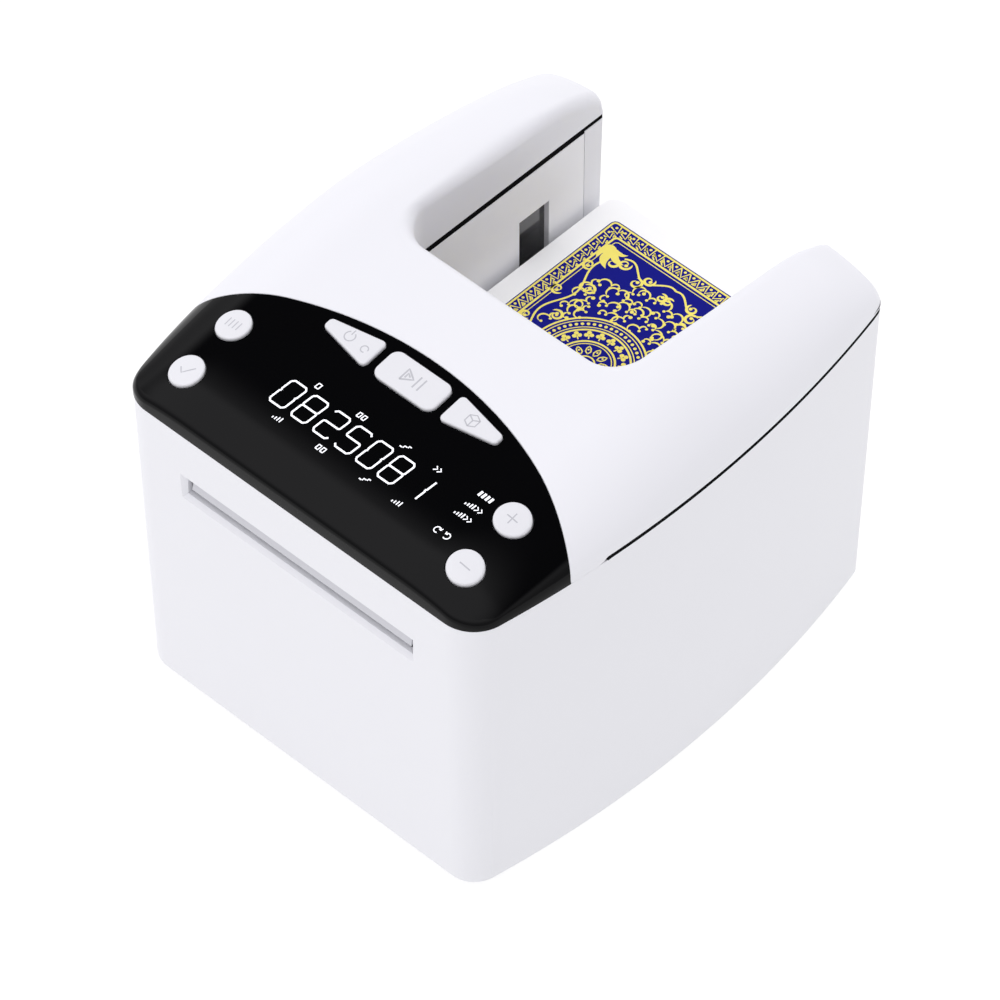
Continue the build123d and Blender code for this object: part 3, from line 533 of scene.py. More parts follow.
def cornered_key(points, radius):
    """Outline of a convex key with rounded corners, which can be grown or shrunk."""

    def outline(grow):
        n = len(points)
        pairs = zip(points, points[1:] + points[:1])
        area = sum(a[0] * b[1] - b[0] * a[1] for a, b in pairs)
        turn = 1.0 if area > 0 else -1.0
        out = []
        for i in range(n):
            a, b, c = Vector(points[i - 1]), Vector(points[i]), Vector(points[(i + 1) % n])
            d1, d2 = (b - a).normalized(), (c - b).normalized()
            n1, n2 = Vector((d1.y, -d1.x)) * turn, Vector((d2.y, -d2.x)) * turn
            half = (n1 + n2).normalized()
            tip = b + half * (grow / half.dot(n1))
            curve = corner(tuple(tip - d1 * 9), tuple(tip), tuple(tip + d2 * 9), max(radius + grow, 0.15), 11)
            out += curve
        return out

    return outline


bar_key = cornered_key([(-8.95, -4.35), (8.95, -4.35), (8.95, 4.35), (-8.95, 4.35)], 2.4)
left_wing = cornered_key([(7.3, 4.2), (-7.5, 1.4), (-7.5, -1.4), (7.3, -4.2)], 1.2)
right_wing = cornered_key([(-7.3, 4.2), (7.5, 1.4), (7.5, -1.4), (-7.3, -4.2)], 1.2)
keys = {
    "key_mode": (-42.3, REAR_ROW, round_key),
    "key_ok": (-42.3, FRONT_ROW, round_key),
    "key_plus": (42.3, REAR_ROW, round_key),
    "key_minus": (42.3, FRONT_ROW, round_key),
    "key_power": (-18.6, ARC_ROW, left_wing),
    "key_play": (0.0, ARC_ROW, bar_key),
    "key_dice": (18.6, ARC_ROW, right_wing),
}


def key_origin(name):
    x, y, _ = keys[name]
    return Vector((x, y, SEAM + crown(y)))


def key_ring(name, outline, depth=None, top=None, drop=0.0):
    """Ring of points round a key, at a depth along its axis or on its moulded top."""
    origin = key_origin(name)
    ring = []
    for u, v in outline:
        if depth is not None:
            w = depth
        else:
            w = 0.0
            for _ in range(4):
                q = origin + Vector((u, 0, 0)) + KEY_UP * v + KEY_AXIS * w
                w += (dome(q.x, q.y + top * math.sin(LEAN)) + top * math.cos(LEAN) - q.z) / math.cos(LEAN)
            w -= drop
        ring.append(origin + Vector((u, 0, 0)) + KEY_UP * v + KEY_AXIS * w)
    return ring


front_side = [(side_x(y), y) for y in [arc_end_y + (FRONT - arc_end_y) * i / 20 for i in range(21)]]
front_corner = corner(front_side[-5], front_side[-1], (0, FRONT), 9.5, 24)
front_side = [p for p in front_side if p[1] > front_corner[0][1]]
front_line = [(front_corner[-1][0] * (1 - i / 30), FRONT) for i in range(31)]
rim_half = spaced(front_side + front_corner + front_line[1:], 150)
back_half = spaced(list(reversed(half_arc)), 150)
rim = [(-x, y) for x, y in rim_half] + [p for p in reversed(rim_half)][1:]
back = [(-x, y) for x, y in back_half] + [p for p in reversed(back_half)][1:]


def panel_foot(y):
    return SHELL_TOP + 0.15 + y * SEAM_TILT


panel = strip_shell("black_control_panel", rim, back, [1.4] * len(rim), [0.3] * len(rim), panel_foot, 2.5, 60)
panel.data.materials.append(panel_black)
holes = bmesh.new()
for name, (_, _, outline) in keys.items():
    upper = [holes.verts.new(q * MM) for q in key_ring(name, outline(KEY_GAP), depth=9.0)]
    lower = [holes.verts.new(q * MM) for q in key_ring(name, outline(KEY_GAP), depth=-9.0)]
    count = len(upper)
    for i in range(count):
        k = (i + 1) % count
        holes.faces.new((lower[i], lower[k], upper[k], upper[i]))
    holes.faces.new(upper)
    holes.faces.new(list(reversed(lower)))
bmesh.ops.recalc_face_normals(holes, faces=holes.faces)
hole_mesh = bpy.data.meshes.new("key_holes")
holes.to_mesh(hole_mesh)
holes.free()
cutter = bpy.data.objects.new("key_holes", hole_mesh)
bpy.context.scene.collection.objects.link(cutter)
cut = panel.modifiers.new("key_holes", "BOOLEAN")
cut.object = cutter
cut.operation = "DIFFERENCE"
cut.solver = "EXACT"
bpy.context.view_layer.update()
cut_mesh = bpy.data.meshes.new_from_object(panel.evaluated_get(bpy.context.evaluated_depsgraph_get()))
panel.modifiers.remove(cut)
panel.data = cut_mesh
bpy.data.objects.remove(cutter)


def skin_normal(x, y):
    """Outward direction of the moulded top at a point of the plan."""
    e = 0.2
    dx = (dome(x + e, y) - dome(x - e, y)) / (2 * e)
    dy = (dome(x, y + e) - dome(x, y - e)) / (2 * e)
    return Vector((-dx, -dy, 1.0)).normalized()


normals = [Vector(n.vector) for n in panel.data.corner_normals]
for face in panel.data.polygons:
    for corner_index in face.loop_indices:
        q = panel.data.vertices[panel.data.loops[corner_index].vertex_index].co / MM
        if abs(q.z - dome(q.x, q.y)) < 0.02:
            smooth = skin_normal(q.x, q.y)
            if face.normal.dot(smooth) > 0.9:
                normals[corner_index] = smooth
panel.data.normals_split_custom_set(normals)
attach(panel, "housing")
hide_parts("control_panel")

# ---------------------------------------------------------------- read-outs
# Slanted lit numerals behind the black face, with small lit marks round them: player, card and
# speed bars, a four-bar battery gauge and the two turning arrows.
lit_white = moulded("lit_read_out", (0.85, 0.86, 0.9), rough=0.5, grain=0.0)
lit_white.node_tree.nodes["Principled BSDF"].inputs["Emission Color"].default_value = (0.93, 0.95, 1.0, 1)
lit_white.node_tree.nodes["Principled BSDF"].inputs["Emission Strength"].default_value = 0.45
SLANT = math.tan(math.radians(8.0))
DIGIT_WIDE = 4.5
DIGIT_TALL = 7.1
CHAMFER = 0.62
W, H, C = DIGIT_WIDE, DIGIT_TALL, CHAMFER
MID = H / 2
STROKES = {
    "top": [(0, H - C), (C, H), (W - C, H), (W, H - C)],
    "bottom": [(0, C), (C, 0), (W - C, 0), (W, C)],
    "left_high": [(0, H - C), (0, MID + 0.35), (0.28, MID)],
    "left_low": [(0, C), (0, MID - 0.35), (0.28, MID)],
    "right_high": [(W, H - C), (W, MID + 0.35), (W - 0.28, MID)],
    "right_low": [(W, C), (W, MID - 0.35), (W - 0.28, MID)],
    "middle": [(0.28, MID), (W - 0.28, MID)],
}
NUMERALS = {
    "0": ("top", "bottom", "left_high", "left_low", "right_high", "right_low"),
    "1": ("right_high", "right_low"),
    "2": ("top", "right_high", "middle", "left_low", "bottom"),
    "5": ("top", "left_high", "middle", "right_low", "bottom"),
    "8": ("top", "bottom", "left_high", "left_low", "right_high", "right_low", "middle"),
}


def stroke(work, line, width, low, high, closed=False):
    """Ribbon of constant width along a plan line."""
    line = [tuple(q) for q in line]
    one_side = side_steps(line, width / 2, closed)
    flat_band(work, one_side, side_steps(line, -width / 2, closed), low, high, closed)


def finely(line, step=0.8):
    """The line with points added, so that it can follow a curved surface."""
    out = [line[0]]
    for a, b in zip(line, line[1:]):
        n = max(1, int(math.hypot(b[0] - a[0], b[1] - a[1]) / step))
        out += [(a[0] + (b[0] - a[0]) * i / n, a[1] + (b[1] - a[1]) * i / n) for i in range(1, n + 1)]
    return out


def on_panel(lift):
    return lambda x, y: dome(x, y) + lift


read_out = bmesh.new()
for number, middle_x in zip("0825081", (-19.4, -12.8, -6.1, 0.5, 6.9, 13.4, 20.1)):
    for part in NUMERALS[number]:
        line = [(middle_x - W / 2 + u + (v - MID) * SLANT, -48.7 + v - MID) for u, v in STROKES[part]]
        stroke(read_out, finely(line), 0.46, on_panel(-0.02), on_panel(0.025))


def mark(x, y, strokes, width=0.3):
    """Small lit mark made of straight strokes, in its own slanted frame."""
    for line in strokes:
        placed = [(x + u + v * SLANT, y + v) for u, v in line]
        stroke(read_out, finely(placed, 0.5), width, on_panel(-0.02), on_panel(0.025))


CARD_MARK = [[(-0.5, -0.65), (0.5, -0.65), (0.5, 0.65), (-0.5, 0.65), (-0.5, -0.65)]]
TWO_CARDS = [
    [(-1.1, -0.6), (-0.3, -0.6), (-0.3, 0.6), (-1.1, 0.6), (-1.1, -0.6)],
    [(0.3, -0.6), (1.1, -0.6), (1.1, 0.6), (0.3, 0.6), (0.3, -0.6)],
]
STEP_MARK = [
    [(-1.1, -0.5), (-0.4, -0.5)],
    [(-0.2, -0.5), (-0.2, 0.1), (0.5, 0.1)],
    [(0.7, 0.1), (0.7, 0.6), (1.3, 0.6)],
]
FAST_MARK = [[(-1.0, -0.6), (-0.3, 0.0), (-1.0, 0.6)], [(0.1, -0.6), (0.8, 0.0), (0.1, 0.6)]]
BARS_MARK = [[(x, -0.6), (x, top)] for x, top in ((-1.1, -0.1), (-0.4, 0.2), (0.3, 0.5), (1.0, 0.7))]
for x, y, drawing in (
    (-15.5, -43.1, CARD_MARK), (-2.3, -43.1, TWO_CARDS), (10.8, -43.1, STEP_MARK), (20.8, -43.1, FAST_MARK),
    (-16.9, -54.6, BARS_MARK), (-3.7, -54.6, TWO_CARDS), (9.5, -54.6, STEP_MARK), (19.3, -54.6, BARS_MARK),
):
    mark(x, y, drawing)
for i in range(4):
    mark(32.3 + 1.05 * i, -42.0, [[(0, -0.7), (0, 0.7)]], 0.62)
for x, y in ((32.6, -45.5), (32.3, -48.6)):
    mark(x, y, BARS_MARK, 0.34)
    mark(x + 2.6, y, FAST_MARK, 0.28)
for x, turn in ((31.2, 1), (34.0, -1)):
    angles = [math.radians(a) for a in range(20, 311, 15)]
    arc = [(turn * 0.75 * math.cos(a), 0.75 * math.sin(a)) for a in angles]
    mark(x, -54.4, [arc], 0.26)
    tip = arc[0]
    mark(x, -54.4, [[(tip[0] - turn * 0.55, tip[1] + 0.15), tip, (tip[0] + turn * 0.15, tip[1] + 0.6)]], 0.24)
finished("lit_numerals", read_out, lit_white, "housing", "panel")

# ---------------------------------------------------------------- keys
# Off-white keys, each a cap with a rounded rim on a flange that keeps it in its hole, and a stem
# down to its switch. The signs are printed in a barely darker grey.
key_white = moulded("key_off_white", (0.78, 0.78, 0.815), rough=0.36, grain=0.00002, mottle=0.008)
sign_grey = moulded("key_sign_grey", (0.52, 0.52, 0.56), rough=0.5, grain=0.0)
RIM = 0.5
FLANGE_TOP = 4.2


def key_cap(name):
    """Solid key from its crowned top to the foot of its stem."""
    origin = key_origin(name)
    outline = keys[name][2]
    foot = min((v.co / MM - origin).dot(KEY_AXIS) for v in nodes[name].data.vertices)
    edge = outline(-RIM)
    rings = []
    for f in (0.12, 0.3, 0.5, 0.7, 0.86):
        rings.append(key_ring(name, [(u * f, v * f) for u, v in edge], top=KEY_PROUD))
    for i in range(7):
        a = math.pi / 2 * i / 6
        rolled = outline(-RIM * (1 - math.sin(a)))
        rings.append(key_ring(name, rolled, top=KEY_PROUD, drop=RIM * (1 - math.cos(a))))
    rings.append(key_ring(name, outline(0.0), depth=-FLANGE_TOP))
    rings.append(key_ring(name, outline(0.8), depth=-FLANGE_TOP))
    rings.append(key_ring(name, outline(0.8), depth=-FLANGE_TOP - 0.8))
    stem = [(u / math.hypot(u, v) * 1.3, v / math.hypot(u, v) * 1.3) for u, v in edge]
    rings.append(key_ring(name, stem, depth=-FLANGE_TOP - 0.8))
    rings.append(key_ring(name, stem, depth=foot))
    work = bmesh.new()
    rows = [[work.verts.new(q * MM) for q in ring] for ring in rings]
    count = len(rows[0])
    for a, b in zip(rows, rows[1:]):
        for i in range(count):
            k = (i + 1) % count
            work.faces.new((a[i], b[i], b[k], a[k]))
    centre = work.verts.new(key_ring(name, [(0.0, 0.0)], top=KEY_PROUD)[0] * MM)
    for i in range(count):
        work.faces.new((centre, rows[0][i], rows[0][(i + 1) % count]))
    work.faces.new(list(reversed(rows[-1])))
    bmesh.ops.remove_doubles(work, verts=work.verts, dist=2e-6)
    finished(name + "_cap", work, key_white, name, "key", name, sharp=40)


def on_key(lift):
    def height(x, y):
        return dome(x, y + KEY_PROUD * math.sin(LEAN)) + KEY_PROUD * math.cos(LEAN) + lift

    return height


def circle_line(x, y, radius, start=0, end=360, steps=28):
    return [
        (x + radius * math.cos(math.radians(a)), y + radius * math.sin(math.radians(a)))
        for a in [start + (end - start) * i / steps for i in range(steps + 1)]
    ]


SIGNS = {
    "key_mode": [[(x, -1.1), (x, 1.1)] for x in (-1.6, -0.5, 0.6, 1.7)],
    "key_ok": [[(-1.7, 0.1), (-0.5, -1.1), (1.8, 1.3)]],
    "key_plus": [[(-1.5, 0), (1.5, 0)], [(0, -1.5), (0, 1.5)]],
    "key_minus": [[(-1.5, 0), (1.5, 0)]],
    "key_power": [
        circle_line(-0.6, 0, 1.3, 120, 420),
        [(-0.6, 0.5), (-0.6, 1.9)],
        circle_line(4.4, -0.6, 0.9, 0, 300, 16),
    ],
    "key_play": [
        [(-2.6, -1.7), (-2.6, 1.7), (0.2, 0), (-2.6, -1.7)], [(-1.9, -0.7), (-1.9, 0.7), (-0.9, 0.0)],
        [(1.2, -1.7), (1.2, 1.7)], [(2.6, -1.7), (2.6, 1.7)],
    ],
    "key_dice": [
        [(-2.2, -0.9), (-2.2, 0.9), (-0.7, 1.7), (0.8, 0.9), (0.8, -0.9), (-0.7, -1.7), (-2.2, -0.9)],
        [(-2.2, 0.9), (-0.7, 0.1), (0.8, 0.9)], [(-0.7, 0.1), (-0.7, -1.7)],
    ],
}
for name in keys:
    key_cap(name)
    signs = bmesh.new()
    kx, ky, _ = keys[name]
    for line in SIGNS[name]:
        placed = [(kx + u, ky + v) for u, v in line]
        stroke(signs, finely(placed, 0.6), 0.42 if name == "key_play" else 0.3, on_key(-0.02), on_key(0.015))
    finished(name + "_sign", signs, sign_grey, name, "key")

# ---------------------------------------------------------------- deck of cards
# Fifty-two coated cards, each a little out of line with the next. The one on top lies face down,
# with a white border round a dark blue field printed in gold.
LINEN = {"grain": 0.00001, "grain_size": 0.0004}
card_white = moulded("coated_card", (0.985, 0.985, 0.99), rough=0.4, mottle=0.005, **LINEN)
print_blue = moulded("print_blue", (0.004, 0.006, 0.235), rough=0.34, mottle=0.05, **LINEN)
print_gold = moulded("print_gold", (0.98, 0.83, 0.17), rough=0.34, mottle=0.06, **LINEN)
for coating, gloss in ((card_white, 0.3), (print_blue, 0.12), (print_gold, 0.3)):
    coating.node_tree.nodes["Principled BSDF"].inputs["Specular IOR Level"].default_value = gloss
deck_low, deck_high = [Vector(v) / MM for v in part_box("card_deck")]
top_low, top_high = [Vector(v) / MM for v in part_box("top_card")]
CARD_X, CARD_Y = (deck_low.x + deck_high.x) / 2, (deck_low.y + deck_high.y) / 2
CARD_HALF_X, CARD_HALF_Y = (deck_high.x - deck_low.x) / 2, (deck_high.y - deck_low.y) / 2
CARDS_UNDER = 51
card_step = (deck_high.z - deck_low.z) / CARDS_UNDER
slack = 0.14


def rounded_sheet(work, half_x, half_y, radius, low, high, steps=6, x=0.0, y=0.0):
    """Flat plate with rounded corners."""
    line = []
    for cx, cy, a in ((1, 1, 0), (-1, 1, 90), (-1, -1, 180), (1, -1, 270)):
        for i in range(steps + 1):
            t = math.radians(a + 90 * i / steps)
            u = x + cx * (half_x - radius) + radius * math.cos(t)
            line.append((u, y + cy * (half_y - radius) + radius * math.sin(t)))
    upper = [work.verts.new(Vector((u, v, high)) * MM) for u, v in line]
    lower = [work.verts.new(Vector((u, v, low)) * MM) for u, v in line]
    n = len(line)
    for i in range(n):
        k = (i + 1) % n
        work.faces.new((lower[i], lower[k], upper[k], upper[i]))
    work.faces.new(upper)
    work.faces.new(list(reversed(lower)))


def tree_with(name, inputs):
    """Geometry node tree with one geometry input and named sizes."""
    tree = bpy.data.node_groups.new(name, "GeometryNodeTree")
    tree.interface.new_socket("Geometry", in_out="INPUT", socket_type="NodeSocketGeometry")
    tree.interface.new_socket("Geometry", in_out="OUTPUT", socket_type="NodeSocketGeometry")
    for label, kind in inputs:
        tree.interface.new_socket(label, in_out="INPUT", socket_type=kind)
    return tree, tree.nodes.new("NodeGroupInput"), tree.nodes.new("NodeGroupOutput")


def end_tree(tree, geometry, finish, end):
    """Realise the instances and set their material."""
    real = tree.nodes.new("GeometryNodeRealizeInstances")
    paint = tree.nodes.new("GeometryNodeSetMaterial")
    paint.inputs["Material"].default_value = finish
    tree.links.new(geometry, real.inputs[0])
    tree.links.new(real.outputs[0], paint.inputs["Geometry"])
    tree.links.new(paint.outputs[0], end.inputs[0])


def grown(name, seed_mesh, tree, values):
    """Run a tree on a seed mesh and return the plain mesh object that results."""
    carrier = bpy.data.objects.new(name + "_seed", seed_mesh)
    bpy.context.scene.collection.objects.link(carrier)
    modifier = carrier.modifiers.new("repeat", "NODES")
    modifier.node_group = tree
    for item in tree.interface.items_tree:
        if item.item_type == "SOCKET" and item.in_out == "INPUT" and item.name in values:
            modifier[item.identifier] = values[item.name]
    bpy.context.view_layer.update()
    mesh = bpy.data.meshes.new_from_object(carrier.evaluated_get(bpy.context.evaluated_depsgraph_get()))
    mesh.name = name
    bpy.data.objects.remove(carrier)
    piece = bpy.data.objects.new(name, mesh)
    bpy.context.scene.collection.objects.link(piece)
    return piece


def seed_of(name, work):
    bmesh.ops.recalc_face_normals(work, faces=work.faces)
    mesh = bpy.data.meshes.new(name)
    work.to_mesh(mesh)
    work.free()
    return mesh


one_card = bmesh.new()
card_thick = card_step - 0.012
rounded_sheet(one_card, CARD_HALF_X - slack, CARD_HALF_Y - slack, 3.4, 0.0, card_thick, 5, CARD_X, CARD_Y)
NUMBER, LENGTH, PLACE = "NodeSocketInt", "NodeSocketFloat", "NodeSocketVector"
tree, start, end = tree_with(
    "stack_of_cards",
    [("Count", NUMBER), ("Step", LENGTH), ("Bottom", LENGTH), ("Slack", LENGTH), ("Seed", NUMBER)],
)
pile = tree.nodes.new("GeometryNodeMeshLine")
rise = tree.nodes.new("ShaderNodeCombineXYZ")
bottom = tree.nodes.new("ShaderNodeCombineXYZ")
tree.links.new(start.outputs["Count"], pile.inputs["Count"])
tree.links.new(start.outputs["Step"], rise.inputs["Z"])
tree.links.new(start.outputs["Bottom"], bottom.inputs["Z"])
tree.links.new(rise.outputs[0], pile.inputs["Offset"])
tree.links.new(bottom.outputs[0], pile.inputs["Start Location"])
shift = tree.nodes.new("FunctionNodeRandomValue")
shift.data_type = "FLOAT_VECTOR"
widest = tree.nodes.new("ShaderNodeCombineXYZ")
least = tree.nodes.new("ShaderNodeVectorMath")
least.operation = "SCALE"
least.inputs["Scale"].default_value = -1.0
tree.links.new(start.outputs["Slack"], widest.inputs["X"])
tree.links.new(start.outputs["Slack"], widest.inputs["Y"])
tree.links.new(widest.outputs[0], least.inputs[0])
tree.links.new(least.outputs[0], shift.inputs[0])
tree.links.new(widest.outputs[0], shift.inputs[1])
tree.links.new(start.outputs["Seed"], shift.inputs["Seed"])
nudge = tree.nodes.new("GeometryNodeSetPosition")
tree.links.new(pile.outputs[0], nudge.inputs["Geometry"])
tree.links.new(shift.outputs[0], nudge.inputs["Offset"])
deal = tree.nodes.new("GeometryNodeInstanceOnPoints")
tree.links.new(nudge.outputs[0], deal.inputs["Points"])
tree.links.new(start.outputs["Geometry"], deal.inputs["Instance"])
end_tree(tree, deal.outputs[0], card_white, end)
stack = grown(
    "cards_in_deck", seed_of("one_card", one_card), tree,
    {
        "Count": CARDS_UNDER, "Step": card_step * MM, "Bottom": deck_low.z * MM,
        "Slack": slack * 0.95 * MM, "Seed": 7,
    },
)
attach(stack, "card_deck")
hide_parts("card_deck")

face_down = bmesh.new()
rounded_sheet(face_down, CARD_HALF_X, CARD_HALF_Y, 3.5, top_low.z + 0.01, top_high.z, 12, CARD_X, CARD_Y)
finished("top_card_body", face_down, card_white, "card_deck", "card_back", "top_card")
field = bmesh.new()
white_edge = 5.7
rounded_sheet(
    field, CARD_HALF_X - white_edge, CARD_HALF_Y - white_edge, 1.6, top_high.z - 0.01, top_high.z + 0.012,
    8, CARD_X, CARD_Y,
)
finished("card_back_field", field, print_blue, "card_deck", "card_back")


inked = 0


def card_low(x, y):
    return top_high.z


def ink_height():
    """Height of the next printed line: lines that cross lie a hair apart."""
    global inked
    inked += 1
    height = top_high.z + 0.016 + 0.0021 * (inked * 4 % 11)
    return lambda x, y: height


def place(line, x=0.0, y=0.0, turn=0.0, scale=1.0, flip_x=1, flip_y=1):
    """Move a drawn line onto the card."""
    c, s = math.cos(turn), math.sin(turn)
    moved = [(x + scale * (u * c - v * s), y + scale * (u * s + v * c)) for u, v in line]
    return [(CARD_X + flip_x * u, CARD_Y + flip_y * v) for u, v in moved]


def frame_line(inset, radius=1.0):
    """Rounded rectangle inside the card's edge."""
    hx, hy = CARD_HALF_X - inset, CARD_HALF_Y - inset
    out = []
    for cx, cy, a in ((1, 1, 0), (-1, 1, 90), (-1, -1, 180), (1, -1, 270)):
        for i in range(7):
            t = math.radians(a + 15 * i)
            out.append((cx * (hx - radius) + radius * math.cos(t), cy * (hy - radius) + radius * math.sin(t)))
    return out


def leaf(work, line, widest_at, width):
    """Stroke that swells and runs out to points, for leaves and scroll ends."""
    n = len(line)
    left, right = [], []
    for i, (q, a, b) in enumerate(zip(line, [line[0]] + line[:-1], line[1:] + [line[-1]])):
        t = i / (n - 1)
        w = width / 2 * (math.sin(math.pi * t ** (math.log(0.5) / math.log(widest_at))) * 0.97 + 0.03)
        dx, dy = b[0] - a[0], b[1] - a[1]
        size = math.hypot(dx, dy) or 1.0
        left.append((q[0] - dy / size * w, q[1] + dx / size * w))
        right.append((q[0] + dy / size * w, q[1] - dx / size * w))
    flat_band(work, left, right, card_low, ink_height())


def curl(turns, start_radius, end_radius, steps=26):
    """Spiral that starts at the origin, heading along +X."""
    out = []
    for i in range(steps + 1):
        t = i / steps
        radius = start_radius + (end_radius - start_radius) * t
        angle = -math.pi / 2 + turns * 2 * math.pi * t
        out.append((radius * math.cos(angle), start_radius + radius * math.sin(angle)))
    return out


def disc(work, x, y, radius, steps=14):
    rim_points = ring_of_points(radius, steps, x, y)
    height = ink_height()
    upper = [work.verts.new(Vector((u, v, height(u, v))) * MM) for u, v in rim_points]
    lower = [work.verts.new(Vector((u, v, card_low(u, v))) * MM) for u, v in rim_points]
    for i in range(steps):
        k = (i + 1) % steps
        work.faces.new((lower[i], lower[k], upper[k], upper[i]))
    work.faces.new(upper)
    work.faces.new(list(reversed(lower)))


gold = bmesh.new()
for inset, width in ((6.25, 0.5), (9.75, 0.55), (10.75, 0.22)):
    stroke(gold, place(frame_line(inset)), width, card_low, ink_height(), closed=True)
for flip_x in (1, -1):
    for flip_y in (1, -1):
        corner_leaf = [(t * 6.4, 1.9 * math.sin(t * 2.7) + 0.2) for t in [i / 18 for i in range(19)]]
        for turn, size in ((4.22, 1.0), (4.95, 0.8), (3.5, 0.8), (5.6, 0.5), (2.85, 0.5)):
            leaf(gold, place(corner_leaf, 18.9, 31.3, turn, size, flip_x, flip_y), 0.42, 2.3 * size)
        for turn in (3.05, 5.35):
            leaf(gold, place(curl(0.9, 1.7, 0.5), 16.9, 29.3, turn, 1.0, flip_x, flip_y), 0.3, 0.8)
        shares = [i / 44 for i in range(45)]
        vine = [(15.5 - 15.5 * t, 29.4 + 1.7 * math.sin(t * math.pi * 2.5 + 0.6)) for t in shares]
        stroke(gold, place(vine, 0, 0, 0, 1, flip_x, flip_y), 0.5, card_low, ink_height())
        shares = [i / 60 for i in range(61)]
        side_vine = [(17.9 + 1.4 * math.sin(t * math.pi * 3.0 + 0.4), 27.5 - 27.5 * t) for t in shares]
        stroke(gold, place(side_vine, 0, 0, 0, 1, flip_x, flip_y), 0.5, card_low, ink_height())
        for x, y, turn, size in (
            (12.9, 30.2, -2.2, 1.15), (9.4, 27.9, 2.6, 1.15), (5.6, 30.2, -2.4, 1.05), (1.9, 28.1, 2.5, 0.95),
            (18.9, 23.0, -1.2, 1.1), (16.6, 18.2, 1.9, 1.15), (18.9, 12.6, -1.3, 1.1), (16.6, 7.2, 1.9, 1.15),
            (18.9, 1.6, -1.2, 1.0),
        ):
            leaf(gold, place(curl(1.15, 1.5, 0.45), x, y, turn, size, flip_x, flip_y), 0.3, 0.72)
            end_x, end_y = place([curl(1.15, 1.5, 0.45)[-1]], x, y, turn, size, flip_x, flip_y)[0]
            disc(gold, end_x, end_y, 0.45)

rng = random.Random(52)
for ring_radius, count, size in ((16.2, 22, 0.9), (19.0, 26, 1.0), (21.8, 30, 1.0), (24.6, 34, 1.0)):
    for i in range(count):
        stagger = 0.5 * (ring_radius > 18) + 0.5 * (ring_radius > 21)
        angle = 2 * math.pi * (i + stagger) / count + rng.uniform(-0.04, 0.04)
        x, y = ring_radius * math.cos(angle), ring_radius * math.sin(angle)
        if abs(x) > 15.4 or abs(y) > 26.6:
            continue
        lean_to = angle + rng.choice((-1, 1)) * rng.uniform(0.2, 0.8)
        twist = rng.choice((-1, 1))
        branch = [(u, twist * v) for u, v in curl(0.66, 1.95, 0.95, 16)]
        leaf(gold, place(branch, x, y, lean_to, size), 0.35, 0.5)
        twig = [(u * 0.7, -twist * v * 0.7) for u, v in curl(0.55, 1.8, 0.9, 12)]
        leaf(gold, place(twig, x, y, lean_to + 0.5, size), 0.35, 0.46)
        for line in (branch, twig):
            end_x, end_y = place([line[-1]], x, y, lean_to + (0.5 if line is twig else 0.0), size)[0]
            disc(gold, end_x, end_y, rng.uniform(0.36, 0.52), 10)
        bud_x, bud_y = place([(-0.3, 0.0)], x, y, lean_to, size)[0]
        disc(gold, bud_x, bud_y, 0.38, 10)
medallion_rings = ((14.2, 0.5), (13.3, 0.26), (11.3, 0.26), (10.5, 0.5), (6.9, 0.5), (6.1, 0.24), (2.2, 0.4))
for radius, width in medallion_rings:
    stroke(gold, place(ring_of_points(radius, 96)), width, card_low, ink_height(), closed=True)
finished("card_back_scrolls", gold, print_gold, "card_deck", "card_back")

ring_tree, start, end = tree_with(
    "round_the_ring", [("Count", NUMBER), ("Radius", LENGTH), ("Centre", PLACE)]
)
wheel = ring_tree.nodes.new("GeometryNodeMeshCircle")
ring_tree.links.new(start.outputs["Count"], wheel.inputs["Vertices"])
ring_tree.links.new(start.outputs["Radius"], wheel.inputs["Radius"])
at = ring_tree.nodes.new("GeometryNodeInputPosition")
point_out = ring_tree.nodes.new("FunctionNodeAlignRotationToVector")
point_out.axis = "X"
point_out.pivot_axis = "Z"
ring_tree.links.new(at.outputs[0], point_out.inputs["Vector"])
put = ring_tree.nodes.new("GeometryNodeInstanceOnPoints")
ring_tree.links.new(wheel.outputs[0], put.inputs["Points"])
ring_tree.links.new(start.outputs["Geometry"], put.inputs["Instance"])
ring_tree.links.new(point_out.outputs[0], put.inputs["Rotation"])
move = ring_tree.nodes.new("GeometryNodeTransform")
ring_tree.links.new(put.outputs[0], move.inputs["Geometry"])
ring_tree.links.new(start.outputs["Centre"], move.inputs["Translation"])
end_tree(ring_tree, move.outputs[0], print_gold, end)


def motif(lines, discs=()):
    """Small drawn figure at the origin, standing on the card's printed face."""
    work = bmesh.new()
    for line, width in lines:
        flat = [tuple(q) for q in line]
        left, right = side_steps(flat, width / 2), side_steps(flat, -width / 2)
        flat_band(work, left, right, lambda x, y: 0.0, lambda x, y: 0.026)
    for x, y, radius in discs:
        rim_points = ring_of_points(radius, 10, x, y)
        upper = [work.verts.new(Vector((u, v, 0.026)) * MM) for u, v in rim_points]
        lower = [work.verts.new(Vector((u, v, 0.0)) * MM) for u, v in rim_points]
        for i in range(10):
            k = (i + 1) % 10
            work.faces.new((lower[i], lower[k], upper[k], upper[i]))
        work.faces.new(upper)
        work.faces.new(list(reversed(lower)))
    return seed_of("motif", work)


